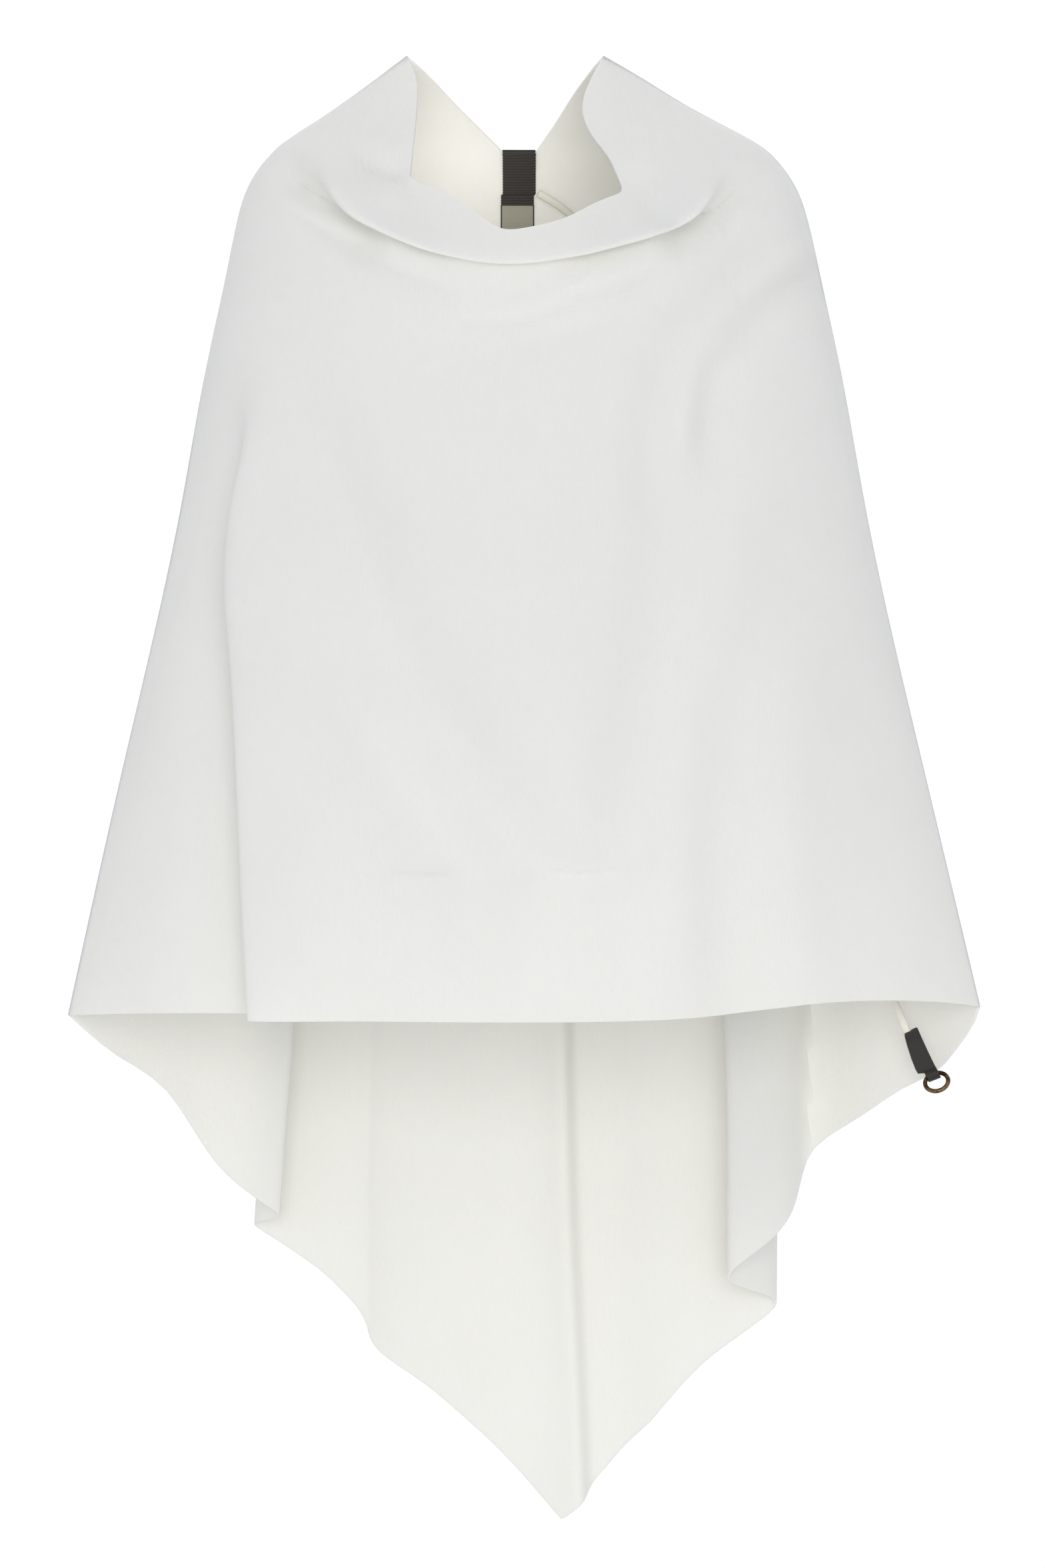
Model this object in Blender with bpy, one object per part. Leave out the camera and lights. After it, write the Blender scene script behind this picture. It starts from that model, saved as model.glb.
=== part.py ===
"""White fleece poncho with a cowl front, a square front hem and a pointed back.

Run it with: blender --background --python part.py
The garment keeps the hollow form that it has when worn. +Z is up, the front faces -Y and
the wearer's left side is at +X. The origin lies between the shoulders, where the cloth
rests. Tables are in millimetres, and Blender's units are metres.
"""

import math

import bpy
import numpy as np
from mathutils import Matrix, Vector
from mathutils.bvhtree import BVHTree

MM = 0.001

# Cloth
CLOTH = 2.4             # thickness of the brushed fleece
SEAM_GAP = 0.4          # between the two panels along the side seams, and round each piece
STEP = 0.4              # how far apart the points of a numeric slope lie
HALF_GIRTH = 300        # about half the way round a panel, for a step of that size
FAN_OUT = 0.7           # below 1, the lines spread sideways early on their way down
COLLAR = 22             # how far the lines of faces first run out from the neck's edge
COLLAR_SHARE = 0.08     # the share of their way down on which they do so
CORNER = 0.1            # the share of the neck's edge over which its corners fade
SAMPLES = 240           # fine steps on which the lines of a panel are laid out
GATHER = 4.5            # how much closer the lines lie in a fold
GATHER_WIDE = 1.8       # over how many of its widths
THERE = 0.02            # the least size at which a fold has lines of its own
CROSSINGS = 12          # rounds that find where the columns and rows cross
SHARP = math.radians(40)     # faces that meet at more than this are shaded as an edge
SEAM_HOLD = 0.09        # share of a panel's half beside each seam that the folds leave alone

# How many columns and rows of faces each panel has
FRONT_COLUMNS, FRONT_ROWS = 50, 36
BACK_COLUMNS, BACK_ROWS = 52, 30

# Level sections through the worn cloth. The side seams run down x_left and x_right at
# y_seam, and front and back say how far the middle of each panel stands off the seams.
# sharpness is 0.5 where a section turns round at the seam and 1 where it comes to a point.
SECTION_COLUMNS = ("z", "x_left", "x_right", "y_seam", "front", "back", "sharpness")
SECTIONS = (
    (83, -85, 62, 5, 2, 2, 0.85),
    (65, -109, 93, 6, 28, 32, 0.80),
    (45, -137, 126, 7, 46, 52, 0.72),
    (25, -167, 164, 8, 62, 68, 0.62),
    (15, -181, 181, 8, 70, 74, 0.58),
    (5, -191, 192, 8, 78, 80, 0.54),
    (-15, -204, 206, 8, 93, 90, 0.50),
    (-40, -212, 215, 8, 110, 99, 0.50),
    (-80, -220, 224, 7, 124, 108, 0.50),
    (-150, -235, 239, 6, 133, 114, 0.52),
    (-250, -253, 257, 4, 139, 118, 0.58),
    (-450, -297, 301, 0, 146, 120, 0.72),
    (-640, -339, 346, -2, 152, 122, 0.85),
    (-850, -385, 395, -2, 158, 124, 0.95),
    (-1060, -430, 440, -2, 162, 126, 1.00),
)

# Cut edges, as x and z seen from the front
FRONT_NECK = (
    (-85, 83), (-77, 63), (-77, 35), (-79, 6), (-81, -19), (-74, -26), (-63, -29.5),
    (-44, -37.5), (-33, -49), (-20, -60), (-9, -64), (9, -61), (31, -55.5), (52, -43),
    (62, -38), (70, -34.5), (74, -30), (71, -20), (66, -6), (60, 3), (53, 13), (47.5, 25),
    (45.5, 37), (48, 51), (54, 66), (62, 83),
)
BACK_NECK = (
    (-85, 83), (-66, 68.5), (-51, 55), (-33, 39.5), (-18, 25), (-16, 22), (14, 22), (16, 25),
    (28, 43), (40, 60), (51, 72), (62, 83),
)
FRONT_HEM = (
    (-339, -636), (-290, -632), (-215, -629), (-170, -633), (-80, -633), (60, -633),
    (130, -631), (175, -626), (215, -621.5), (270, -621), (320, -625), (346, -630),
)
BACK_HEM = (
    (-339, -636), (-312, -664), (-297, -674), (-281, -685), (-266, -700), (-250, -728),
    (-232, -765), (-214, -790), (-178, -808), (-160, -834), (-142, -863), (-118, -886),
    (-96, -906), (-74, -926), (-51, -949), (-21, -976), (5, -1004), (31, -1034),
    (49, -1018), (69, -993), (84, -975), (101, -959), (111, -946), (128, -925),
    (143, -901), (158, -872), (180, -846), (188, -836), (196, -822), (204, -807),
    (212, -790), (221, -765), (236, -743), (257, -722), (284, -698), (302, -688),
    (317, -680), (330, -661), (338, -648), (346, -630),
)

# The ribbon folded over the nape and the label below it
RIBBON_LEFT, RIBBON_RIGHT = -13.7, 11.7
RIBBON_THICK = 0.8
RIBBON_INSIDE = 37      # how far it reaches down inside
RIBBON_OUTSIDE = 12     # and outside
RIBBON_HEM = 8          # the folded band at its inner end
RIBBON_BEND = 3         # how far below the nape's edge it lies flat again
RIBBON_ROWS = 5         # rows of faces down its inside
RIBBON_TURN = 8         # and over the edge
NAPE = 22               # height of the back panel's cut edge there
EDGE = 0.6              # how far below that edge the ribbon starts to turn over it
REACH = 12              # how far off the cloth a point's seat is looked for
LABEL_LONG = 45
LABEL_THICK = 0.6

# The cord's route, from below the nape along the inside of the back to the free end
CORD_DIAMETER = 5.6
CORD_ROUTE = (
    (13.5, 88, -7.8), (24, 90.2, -13.5), (40, 94.5, -25), (56, 99.3, -45), (69.5, 104.3, -75),
    (83, 106.5, -115), (98, 105.5, -160), (114, 102.7, -210), (132, 98.5, -262), (151, 92.5, -314),
    (171, 85, -366), (192, 76, -418), (213, 64, -470), (233, 50, -520), (250, 37, -560),
    (266, 23, -596), (280.4, 11, -623), (290.4, 5.1, -648.35),
)
CORD_POINTS = 60

# The folded ribbon on the cord's end, and the ring that swings in its loop
TAB_TOP = Vector((293.4, 5, -648))
TAB_TOP_WIDE, TAB_WIDE = 11.9, 15.0
TAB_THICK = 3.0
TAB_SHIFT = -2.4        # how far its lower end hangs to the left of the loop's middle
TAB_END = 0.6           # the share of the loop's radius above its axis at which it ends
LOOP = Vector((309.5, 5, -681.3))
LOOP_AXIS = Vector((math.cos(math.radians(21)), 0, math.sin(math.radians(21))))
LOOP_LONG, LOOP_OUTER, LOOP_BORE = 10.0, 4.4, 3.62
RING_OUTER, RING_WIRE = 20.8, 3.3
RING_SEAT = 0.8         # the wire's middle lies this far above the hinge, inside the loop
RING_SWING = -44        # degrees from hanging in line with the ribbon, minus to the front

# Each material's colour, roughness and metallic share
MATERIALS = {
    "fleece": ((0.82, 0.82, 0.79), 0.95, 0.0),
    "grosgrain": ((0.02, 0.018, 0.02), 0.7, 0.0),
    "label_ribbon": ((0.38, 0.37, 0.31), 0.8, 0.0),
    "knitted_cord": ((0.8, 0.78, 0.7), 0.9, 0.0),
    "antique_bronze": ((0.2, 0.11, 0.05), 0.35, 1.0),
}


def spline(knots, values):
    """A natural cubic spline through the points, as a function."""
    knots = np.asarray(knots, float)
    values = np.asarray(values, float)
    if knots[0] > knots[-1]:
        knots, values = knots[::-1], values[::-1]
    count = len(knots)
    gap = np.diff(knots)
    slope = np.diff(values) / gap
    matrix = np.eye(count)
    right = np.zeros(count)
    for i in range(1, count - 1):
        matrix[i, i - 1:i + 2] = gap[i - 1], 2 * (gap[i - 1] + gap[i]), gap[i]
        right[i] = 6 * (slope[i] - slope[i - 1])
    bend = np.linalg.solve(matrix, right)

    def at(where):
        where = np.clip(where, knots[0], knots[-1])
        i = np.clip(np.searchsorted(knots, where, side="right") - 1, 0, count - 2)
        a, b = (knots[i + 1] - where), (where - knots[i])
        h = gap[i]
        return (
            (bend[i] * a**3 + bend[i + 1] * b**3) / (6 * h)
            + (values[i] / h - bend[i] * h / 6) * a
            + (values[i + 1] / h - bend[i + 1] * h / 6) * b
        )

    return at


SECTION = {
    name: spline([row[0] for row in SECTIONS], [row[i] for row in SECTIONS])
    for i, name in enumerate(SECTION_COLUMNS)
}


def middle_and_half(z):
    """The middle and half the width of the level section at z."""
    left, right = SECTION["x_left"](z), SECTION["x_right"](z)
    return (left + right) / 2, (right - left) / 2


def across_at(x, z):
    """How far round its panel a point lies, from -1 at the left seam to 1 at the right."""
    middle, half = middle_and_half(z)
    return np.arcsin(np.clip((x - middle) / half, -1, 1)) * 2 / math.pi


def shares(x, z):
    """The share of a line's length up to each of its points."""
    run = np.concatenate([[0], np.cumsum(np.hypot(np.diff(x), np.diff(z)))])
    return run / run[-1]


def ease(low, high, at):
    """0 at low, 1 at high, and smooth between them."""
    t = np.clip((at - low) / (high - low), 0, 1)
    return t * t * (3 - 2 * t)


class Fold:
    """A fold of the cloth, along a path.

    A drop runs down the cloth and its path gives x for each z. A swag runs across it and
    its path gives z for each x. width is half the band of cloth that it takes. overlap
    moves the cloth on both sides towards the path, and past it where it is over 0.6 of
    width. step moves the side with the larger x or z out, and the other side in. ridge
    moves the line itself out. fade gives the four places along the path between which
    the fold grows and dies away. A line of the panel's faces runs along a guide.
    """

    def __init__(self, kind, path, width, overlap, step, ridge, fade, guide=False):
        self.drop = kind == "drop"
        self.path = spline([p[0] for p in path], [p[1] for p in path])
        self.width, self.overlap, self.step, self.ridge = width, overlap, step, ridge
        self.fade = sorted(fade)
        self.guide = guide

    def measure(self, x, z):
        """How far a point lies past the path, square to it, the path's slope there, and
        the fold's size from 0 to 1."""
        along, across = (z, x) if self.drop else (x, z)
        slope = (self.path(along + STEP) - self.path(along - STEP)) / (2 * STEP)
        low, low_full, high_full, high = self.fade
        size = ease(low, low_full, along) * (1 - ease(high_full, high, along))
        return (across - self.path(along)) / np.hypot(1, slope), slope, size

    def shift(self, x, z):
        """How far a point moves across, up and out."""
        past, slope, size = self.measure(x, z)
        t = past / self.width
        odd = size * t * np.exp((1 - t * t) / 2)
        even = size * np.exp(-t * t / 2)
        square = -self.overlap * odd / np.hypot(1, slope)
        moves = (square, -slope * square) if self.drop else (-slope * square, square)
        return *moves, self.step * odd + self.ridge * even


FRONT_FOLDS = (
    # the cowl's roll hangs over the chest
    Fold("swag", ((-200, 14), (-178, 8), (-159, -1), (-142, -18), (-131, -33), (-105, -57),
                  (-66, -73), (-39, -87), (-8, -92), (23, -89), (57, -80), (84, -72),
                  (108, -61), (130, -46), (143, -30), (150, -14), (158, 2), (170, 14)),
         13, 12.5, 10, 0, (-180, -105, 95, 155), guide=True),
    Fold("swag", ((-170, 12), (-142, 0), (-118, -24), (-90, -42), (-60, -54), (-36, -66),
                  (-8, -74), (25, -71), (60, -62), (95, -48), (118, -30), (132, -10),
                  (145, 10)),
         11, 0, 0, 6, (-160, -110, 75, 135)),
    # a lip where the roll meets the left side of the neck
    Fold("swag", ((-160, 4), (-135, -4), (-121, -9.5), (-108, -13.5), (-96, -17.5),
                  (-81, -23), (-60, -30)),
         9, 2.5, -4.5, 0, (-145, -112, -94, -78)),
    # two softer swags below it
    Fold("swag", ((-120, -75), (-66, -95), (-31, -107), (23, -111), (53, -107), (77, -99),
                  (100, -87), (131, -60), (150, -40)),
         10, 4, 4, 0, (-110, -45, 60, 130)),
    Fold("swag", ((-90, -142), (-39, -138), (15, -130), (53, -121), (77, -111), (105, -95),
                  (140, -70)),
         12, 2, 3, 0, (-70, 5, 70, 130)),
    # soft lines that run down from the shoulders
    Fold("drop", ((-40, 200), (-71, 190), (-122, 151), (-179, 119), (-240, 108)),
         17, 0, 2.5, -3, (-300, -210, -90, -45)),
    Fold("drop", ((-207, 166), (-258, 134), (-338, 117), (-406, 106), (-520, 90)),
         22, 0, 2.5, -3, (-640, -520, -280, -180)),
    Fold("drop", ((-179, -174), (-293, -138), (-389, -98), (-452, -58), (-526, -7)),
         24, 0, -2, -3, (-640, -500, -280, -150)),
    Fold("drop", ((-320, 170), (-463, 163), (-640, 176)),
         26, 0, 3, -4, (-800, -640, -450, -300)),
    # the deep fold at the left, where the middle of the front laps over the side
    Fold("drop", ((-120, -200), (-167, -201), (-247, -203), (-350, -197), (-463, -191),
                  (-548, -187), (-660, -181)),
         23, 28, 26, -10, (-800, -640, -340, -130), guide=True),
)
BACK_FOLDS = (
    Fold("drop", ((-200, -215), (-450, -198), (-640, -185), (-715, -190), (-790, -195.5),
                  (-850, -199)),
         18, 19, 22, 0, (-1100, -1000, -620, -300), guide=True),
    Fold("drop", ((-200, 150), (-450, 163), (-640, 173), (-850, 174), (-900, 174)),
         15, 31, -26, 0, (-1100, -1000, -640, -420), guide=True),
    Fold("drop", ((-200, 230), (-450, 225), (-640, 217), (-800, 216)),
         20, 16, 18, 0, (-1100, -1000, -640, -420)),
    Fold("drop", ((-200, -60), (-640, -117), (-950, -119)),
         22, 10, 0, -10, (-1100, -1000, -620, -250)),
    Fold("drop", ((-200, 20), (-640, 34), (-790, 36), (-850, 38), (-920, 42), (-1010, 48)),
         12, 5, 3, -7, (-1200, -1100, -620, -250)),
)


def lay_out(count, weight, stops):
    """Where count + 1 lines cross a strip, at each sample along it.

    Each row of weight says how closely the lines lie across the strip, and each of stops
    gives the place, from 0 to 1, that one of the lines keeps to.
    """
    place = np.linspace(0, 1, weight.shape[1])
    run = np.cumsum((weight[:, 1:] + weight[:, :-1]) / 2, axis=1)
    run = np.concatenate([np.zeros((len(run), 1)), run], axis=1)
    run /= run[:, -1:]
    fixed = np.stack([np.zeros(len(run)), *stops, np.ones(len(run))], axis=1)
    fixed_run = np.array([np.interp(f, place, r) for f, r in zip(fixed, run)])
    index = np.round(fixed_run.mean(axis=0) * count)
    wanted = [np.interp(np.arange(count + 1), index, f) for f in fixed_run]
    return np.array([np.interp(w, r, place) for w, r in zip(wanted, run)]).T


class Panel:
    """One panel of cloth: its side of the body, its two cut edges and its folds."""

    def __init__(self, side, neck, hem, folds):
        self.side, self.folds = side, folds
        self.neck, self.hem = (self.trace(*line, shares(*line))
                               for line in (np.array(neck, float).T, np.array(hem, float).T))
        self.collar = self.trace(*self.widen(*np.array(neck, float).T))

    @staticmethod
    def trace(x, z, run):
        """A line through points as a function of its share, which gives s and z."""

        def at(share):
            level = np.interp(share, run, z)
            return across_at(np.interp(share, run, x), level), level

        return at

    @staticmethod
    def widen(x, z):
        """The neck's edge with its corners rounded and set out into the cloth, but for
        its ends, and the share of each of its points."""
        run = shares(x, z)
        place = np.linspace(0, 1, SAMPLES + 1)
        ends = np.minimum(place, 1 - place)
        reach = np.minimum(CORNER, ends)
        near = [place + reach * part for part in np.linspace(-1, 1, 11)]
        x, z = (sum(np.interp(at, run, line) for at in near) / len(near) for line in (x, z))
        way_x, way_z = np.gradient(x), np.gradient(z)
        out = COLLAR * ease(0, CORNER, ends) / np.hypot(way_x, way_z)
        return x + way_z * out, z - way_x * out, place

    def between(self, across, down):
        """s and z at a share of the way across and down between the two cut edges."""
        off = 1 - (1 - np.minimum(down / COLLAR_SHARE, 1)) ** 2
        lines = zip(self.neck(across), self.collar(across), self.hem(across), (FAN_OUT, 1))
        for edge, collar, hem, power in lines:
            start = edge + (collar - edge) * off
            yield start + (hem - start) * down**power

    def base(self, s, z):
        """The unfolded cloth. s runs from -1 at the left seam to 1 at the right."""
        turn = np.clip(s, -1, 1) * math.pi / 2
        middle, half = middle_and_half(z)
        depth = SECTION["front" if self.side < 0 else "back"](z)
        bulge = depth * np.maximum(np.cos(turn), 0) ** (2 * SECTION["sharpness"](z))
        x = middle + half * np.sin(turn)
        y = SECTION["y_seam"](z) + self.side * (SEAM_GAP / 2 + bulge)
        return np.stack([x, y, z + 0 * x], axis=-1)

    def frame(self, surface, s, z):
        """The unit directions across, up and out of a surface at a point."""
        span = STEP / HALF_GIRTH
        across = surface(np.minimum(s + span, 1), z) - surface(np.maximum(s - span, -1), z)
        up = surface(s, z + STEP) - surface(s, z - STEP)
        across /= np.linalg.norm(across, axis=-1, keepdims=True)
        up /= np.linalg.norm(up, axis=-1, keepdims=True)
        out = np.cross(across, up) * -self.side
        out /= np.linalg.norm(out, axis=-1, keepdims=True)
        return across, up, out

    def surface(self, s, z):
        """The middle of the cloth's thickness, folds and all."""
        point = self.base(s, z)
        across, up, out = self.frame(self.base, s, z)
        free = ease(0, SEAM_HOLD, 1 - np.abs(s))
        moved = point.copy()
        for fold in self.folds:
            moves = fold.shift(point[..., 0], point[..., 2])
            for way, length in zip((across, up, out), moves):
                moved += way * (free * length)[..., None]
        return moved

    def lines(self, count, drop):
        """Columns of faces that run along the drops, or rows along the swags."""
        place = np.linspace(0, 1, SAMPLES + 1)
        along, across = np.meshgrid(place, place, indexing="ij")
        s, z = self.between(across, along) if drop else self.between(along, across)
        point = self.base(s, z)
        weight = np.ones_like(s)
        stops = []
        for fold in self.folds:
            if fold.drop != drop:
                continue
            past, _, size = fold.measure(point[..., 0], point[..., 2])
            if fold.guide:
                weight += GATHER * size * np.exp(-((past / fold.width / GATHER_WIDE) ** 2))
                past = past if drop else -past
                stop = np.array([np.interp(0, row, place) for row in past])
                there = np.array([np.interp(p, place, row) for p, row in zip(stop, size)])
                kept = there > THERE
                stops.append(np.interp(place, place[kept], stop[kept]))
        stops.sort(key=np.mean)
        return lay_out(count, weight, stops)

    def grid(self, columns, rows):
        """Points of the sheet's outer and inner faces, rows from the neck to the hem."""
        place = np.linspace(0, 1, SAMPLES + 1)
        column_lines, row_lines = self.lines(columns, True), self.lines(rows, False)
        down, across = np.meshgrid(
            np.linspace(0, 1, rows + 1), np.linspace(0, 1, columns + 1), indexing="ij"
        )
        for _ in range(CROSSINGS):
            across = np.array(
                [np.interp(d, place, line) for d, line in zip(down.T, column_lines)]
            ).T
            down = np.array([np.interp(a, place, line) for a, line in zip(across, row_lines)])
        s, z = self.between(across, down)
        s[:, 0], s[:, -1] = -1, 1
        middle = self.surface(s, z)
        _, _, out = self.frame(self.surface, s, z)
        # at the seams the thickness lies in the seam's own plane, as in a mitred joint
        for column, way in ((0, -1), (-1, 1)):
            slope = np.gradient(middle[:, column], axis=0)
            flat = np.cross(slope, (0, 1, 0))
            flat *= np.sign(flat[:, :1]) * way
            out[:, column] = flat / np.linalg.norm(flat, axis=-1, keepdims=True)
        faces = [middle + out * CLOTH / 2, middle - out * CLOTH / 2]
        for face in faces:
            seam = SECTION["y_seam"](face[..., 2]) + self.side * SEAM_GAP / 2
            clear = self.side * np.maximum(self.side * (face[..., 1] - seam), 0)
            face[..., 1] = seam + clear
        return faces


def paint(data, name):
    """Gives a mesh or curve one of the materials."""
    colour, roughness, metallic = MATERIALS[name]
    material = bpy.data.materials.new(name)
    material.use_nodes = True
    shader = material.node_tree.nodes["Principled BSDF"]
    shader.inputs["Base Color"].default_value = (*colour, 1)
    shader.inputs["Roughness"].default_value = roughness
    shader.inputs["Metallic"].default_value = metallic
    data.materials.append(material)


def add_object(name, data, material):
    paint(data, material)
    made = bpy.data.objects.new(name, data)
    bpy.context.scene.collection.objects.link(made)
    return made


def wall_mesh(name, near, far):
    """A closed wall between two grids of points. Seen with rows going down, near is in
    front and far behind."""
    rows, columns = near.shape[0] - 1, near.shape[1] - 1
    shift = (rows + 1) * (columns + 1)

    def front(r, c):
        return r * (columns + 1) + c

    def rear(r, c):
        return front(r, c) + shift

    faces = []
    for r in range(rows):
        for c in range(columns):
            faces.append((front(r, c), front(r + 1, c), front(r + 1, c + 1), front(r, c + 1)))
            faces.append((rear(r, c), rear(r, c + 1), rear(r + 1, c + 1), rear(r + 1, c)))
    for c in range(columns):
        faces.append((front(0, c), front(0, c + 1), rear(0, c + 1), rear(0, c)))
        faces.append((front(rows, c + 1), front(rows, c), rear(rows, c), rear(rows, c + 1)))
    for r in range(rows):
        faces.append((front(r + 1, 0), front(r, 0), rear(r, 0), rear(r + 1, 0)))
        faces.append((front(r, columns), front(r + 1, columns),
                      rear(r + 1, columns), rear(r, columns)))
    points = np.concatenate([near.reshape(-1, 3), far.reshape(-1, 3)]) * MM
    mesh = bpy.data.meshes.new(name)
    mesh.from_pydata(points.tolist(), [], faces)
    mesh.shade_smooth()
    mesh.set_sharp_from_angle(angle=SHARP)
    return mesh


def cloth_panel(name, panel, columns, rows):
    outer, inner = panel.grid(columns, rows)
    near, far = (outer, inner) if panel.side < 0 else (inner, outer)
    return add_object(name, wall_mesh(name, near, far), "fleece")


class Seat:
    """Places points on the faces of the back panel, near the nape."""

    def __init__(self, back, cloth):
        self.back = back
        mesh = cloth.data
        self.tree = BVHTree.FromPolygons(
            [v.co / MM for v in mesh.vertices], [tuple(f.vertices) for f in mesh.polygons]
        )

    def point(self, x, up, out):
        """up is from the nape's edge, and out from the nearer face, or over the edge from
        the middle of the cloth."""
        z = NAPE + min(up, -EDGE)
        s = across_at(x, z)
        _, upward, outward = (Vector(v) for v in self.back.frame(self.back.surface, s, z))
        middle = Vector(self.back.surface(s, z))
        inner, outer = (
            self.tree.ray_cast(middle + outward * way * REACH, outward * -way)[0]
            for way in (-1, 1)
        )
        if up > -EDGE:
            return (inner + outer) / 2 + upward * (up + EDGE) + outward * out
        return (inner if out < 0 else outer) + outward * out


def neck_tab(seat):
    """Grosgrain folded over the nape, doubled at its inner end."""
    half, inner, outer = CLOTH / 2, SEAM_GAP, SEAM_GAP + RIBBON_THICK
    hem = RIBBON_HEM - RIBBON_INSIDE
    rows = [((up, -inner), (up, -outer - RIBBON_THICK)) for up in (-RIBBON_INSIDE, hem)]
    rows += [((up, -inner), (up, -outer))
             for up in np.linspace(hem + RIBBON_THICK, -RIBBON_BEND, RIBBON_ROWS)]
    for turn in np.linspace(0, math.pi, RIBBON_TURN + 1):
        rows.append(tuple((reach * math.sin(turn), -reach * math.cos(turn))
                          for reach in (half + inner, half + outer)))
    rows += [((up, inner), (up, outer))
             for up in np.linspace(-RIBBON_BEND, -RIBBON_OUTSIDE, 3)]
    across = np.linspace(RIBBON_LEFT, RIBBON_RIGHT, 7)
    far, near = (
        np.array([[seat.point(x, *row[layer]) for x in across] for row in rows[::-1]])
        for layer in (0, 1)
    )
    add_object("neck_tab", wall_mesh("neck_tab", near, far), "grosgrain")


def neck_label(seat):
    """The bare woven label below the ribbon."""
    across = np.linspace(RIBBON_LEFT, RIBBON_RIGHT, 6)
    top = -RIBBON_INSIDE - SEAM_GAP
    down = np.linspace(top, top - LABEL_LONG, 10)
    far, near = (
        np.array([[seat.point(x, up, -out) for x in across] for up in down])
        for out in (SEAM_GAP, SEAM_GAP + LABEL_THICK)
    )
    add_object("neck_label", wall_mesh("neck_label", near, far), "label_ribbon")


def cord():
    """The cord, as a tube along a smooth curve through its route."""
    route = np.array(CORD_ROUTE, float)
    run = np.concatenate([[0], np.cumsum(np.linalg.norm(np.diff(route, axis=0), axis=1))])
    smooth = [spline(run, route[:, axis]) for axis in range(3)]
    data = bpy.data.curves.new("cord", "CURVE")
    data.dimensions = "3D"
    line = data.splines.new("POLY")
    line.points.add(CORD_POINTS - 1)
    for point, at in zip(line.points, np.linspace(0, run[-1], CORD_POINTS)):
        point.co = (*(float(axis(at)) * MM for axis in smooth), 1)
    data.bevel_depth = CORD_DIAMETER / 2 * MM
    data.bevel_resolution = 2
    data.use_fill_caps = True
    add_object("cord", data, "knitted_cord")


def cut(target, cutter, operation):
    """Joins a helper to an object or takes it away, and removes the helper."""
    change = target.modifiers.new(operation, "BOOLEAN")
    change.operation = operation
    change.solver = "EXACT"
    change.object = cutter
    bpy.context.view_layer.update()
    shaped = bpy.data.meshes.new_from_object(
        target.evaluated_get(bpy.context.evaluated_depsgraph_get())
    )
    target.modifiers.clear()
    target.data = shaped
    bpy.data.objects.remove(cutter)


def rod(radius, long, sides):
    """A round bar along the loop's axis, centred on it."""
    bpy.ops.mesh.primitive_cylinder_add(
        vertices=sides, radius=radius * MM, depth=long * MM, location=LOOP * MM,
        rotation=LOOP_AXIS.to_track_quat("Z", "Y").to_euler(),
    )
    return bpy.context.object


def cord_tab():
    """The folded ribbon on the cord's end, with the loop that the ring hangs in."""
    down = (LOOP - TAB_TOP).normalized()
    face = LOOP_AXIS.cross(down).normalized()
    mesh = bpy.data.meshes.new("cord_tab")
    rows = []
    foot = LOOP - down * LOOP_OUTER * TAB_END + LOOP_AXIS * TAB_SHIFT
    for centre, width in ((TAB_TOP, TAB_TOP_WIDE), (foot, TAB_WIDE)):
        for side in (-1, 1):
            for layer in (-1, 1):
                rows.append(centre + LOOP_AXIS * side * width / 2 + face * layer * TAB_THICK / 2)
    faces = [(0, 1, 3, 2), (4, 6, 7, 5), (0, 2, 6, 4), (1, 5, 7, 3), (0, 4, 5, 1), (2, 3, 7, 6)]
    mesh.from_pydata([tuple(p * MM) for p in rows], [], faces)
    tab = add_object("cord_tab", mesh, "grosgrain")
    if sum(f.normal.dot(f.center - LOOP * MM) for f in mesh.polygons) < 0:
        mesh.flip_normals()
    cut(tab, rod(LOOP_OUTER, LOOP_LONG, 28), "UNION")
    cut(tab, rod(LOOP_BORE, LOOP_LONG * 2, 28), "DIFFERENCE")


def ring():
    """The metal ring, swung forward in its loop. Its origin is on the hinge."""
    drop = (LOOP - TAB_TOP).normalized()
    hang = Matrix.Rotation(math.radians(RING_SWING), 3, LOOP_AXIS) @ drop
    wire = RING_WIRE / 2
    middle = RING_OUTER / 2 - wire
    bpy.ops.mesh.primitive_torus_add(
        major_radius=middle * MM, minor_radius=wire * MM, major_segments=36, minor_segments=10,
    )
    made = bpy.context.object
    made.name = "ring"
    turn = Matrix((LOOP_AXIS, hang, LOOP_AXIS.cross(hang))).transposed()
    made.data.transform(Matrix.Translation((0, (middle - RING_SEAT) * MM, 0)))
    made.matrix_world = Matrix.Translation(LOOP * MM) @ turn.to_4x4()
    made.data.shade_smooth()
    paint(made.data, "antique_bronze")


def main():
    for old in list(bpy.data.objects):
        bpy.data.objects.remove(old)
    front = Panel(-1, FRONT_NECK, FRONT_HEM, FRONT_FOLDS)
    back = Panel(1, BACK_NECK, BACK_HEM, BACK_FOLDS)
    cloth_panel("front_panel", front, FRONT_COLUMNS, FRONT_ROWS)
    seat = Seat(back, cloth_panel("back_panel", back, BACK_COLUMNS, BACK_ROWS))
    neck_tab(seat)
    neck_label(seat)
    cord()
    cord_tab()
    ring()


main()
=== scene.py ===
"""The looks of a white fleece poncho with a cowl front, a square front hem and a pointed back.

The garment keeps the hollow form that it has when worn. +Z is up, the front faces -Y and the
wearer's left side is at +X. Left and right are as seen from the front, apart from the names
of the two rows of stitches, which go by the wearer. Lengths are in millimetres, apart from
the cord's route, the settings and the studio, which are in metres.
"""

import math

import bpy
import numpy as np
from bpy.props import FloatProperty, FloatVectorProperty, IntProperty, PointerProperty
from bpy.types import Operator, Panel, PropertyGroup
from mathutils import Matrix, Vector
from mathutils.bvhtree import BVHTree


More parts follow.
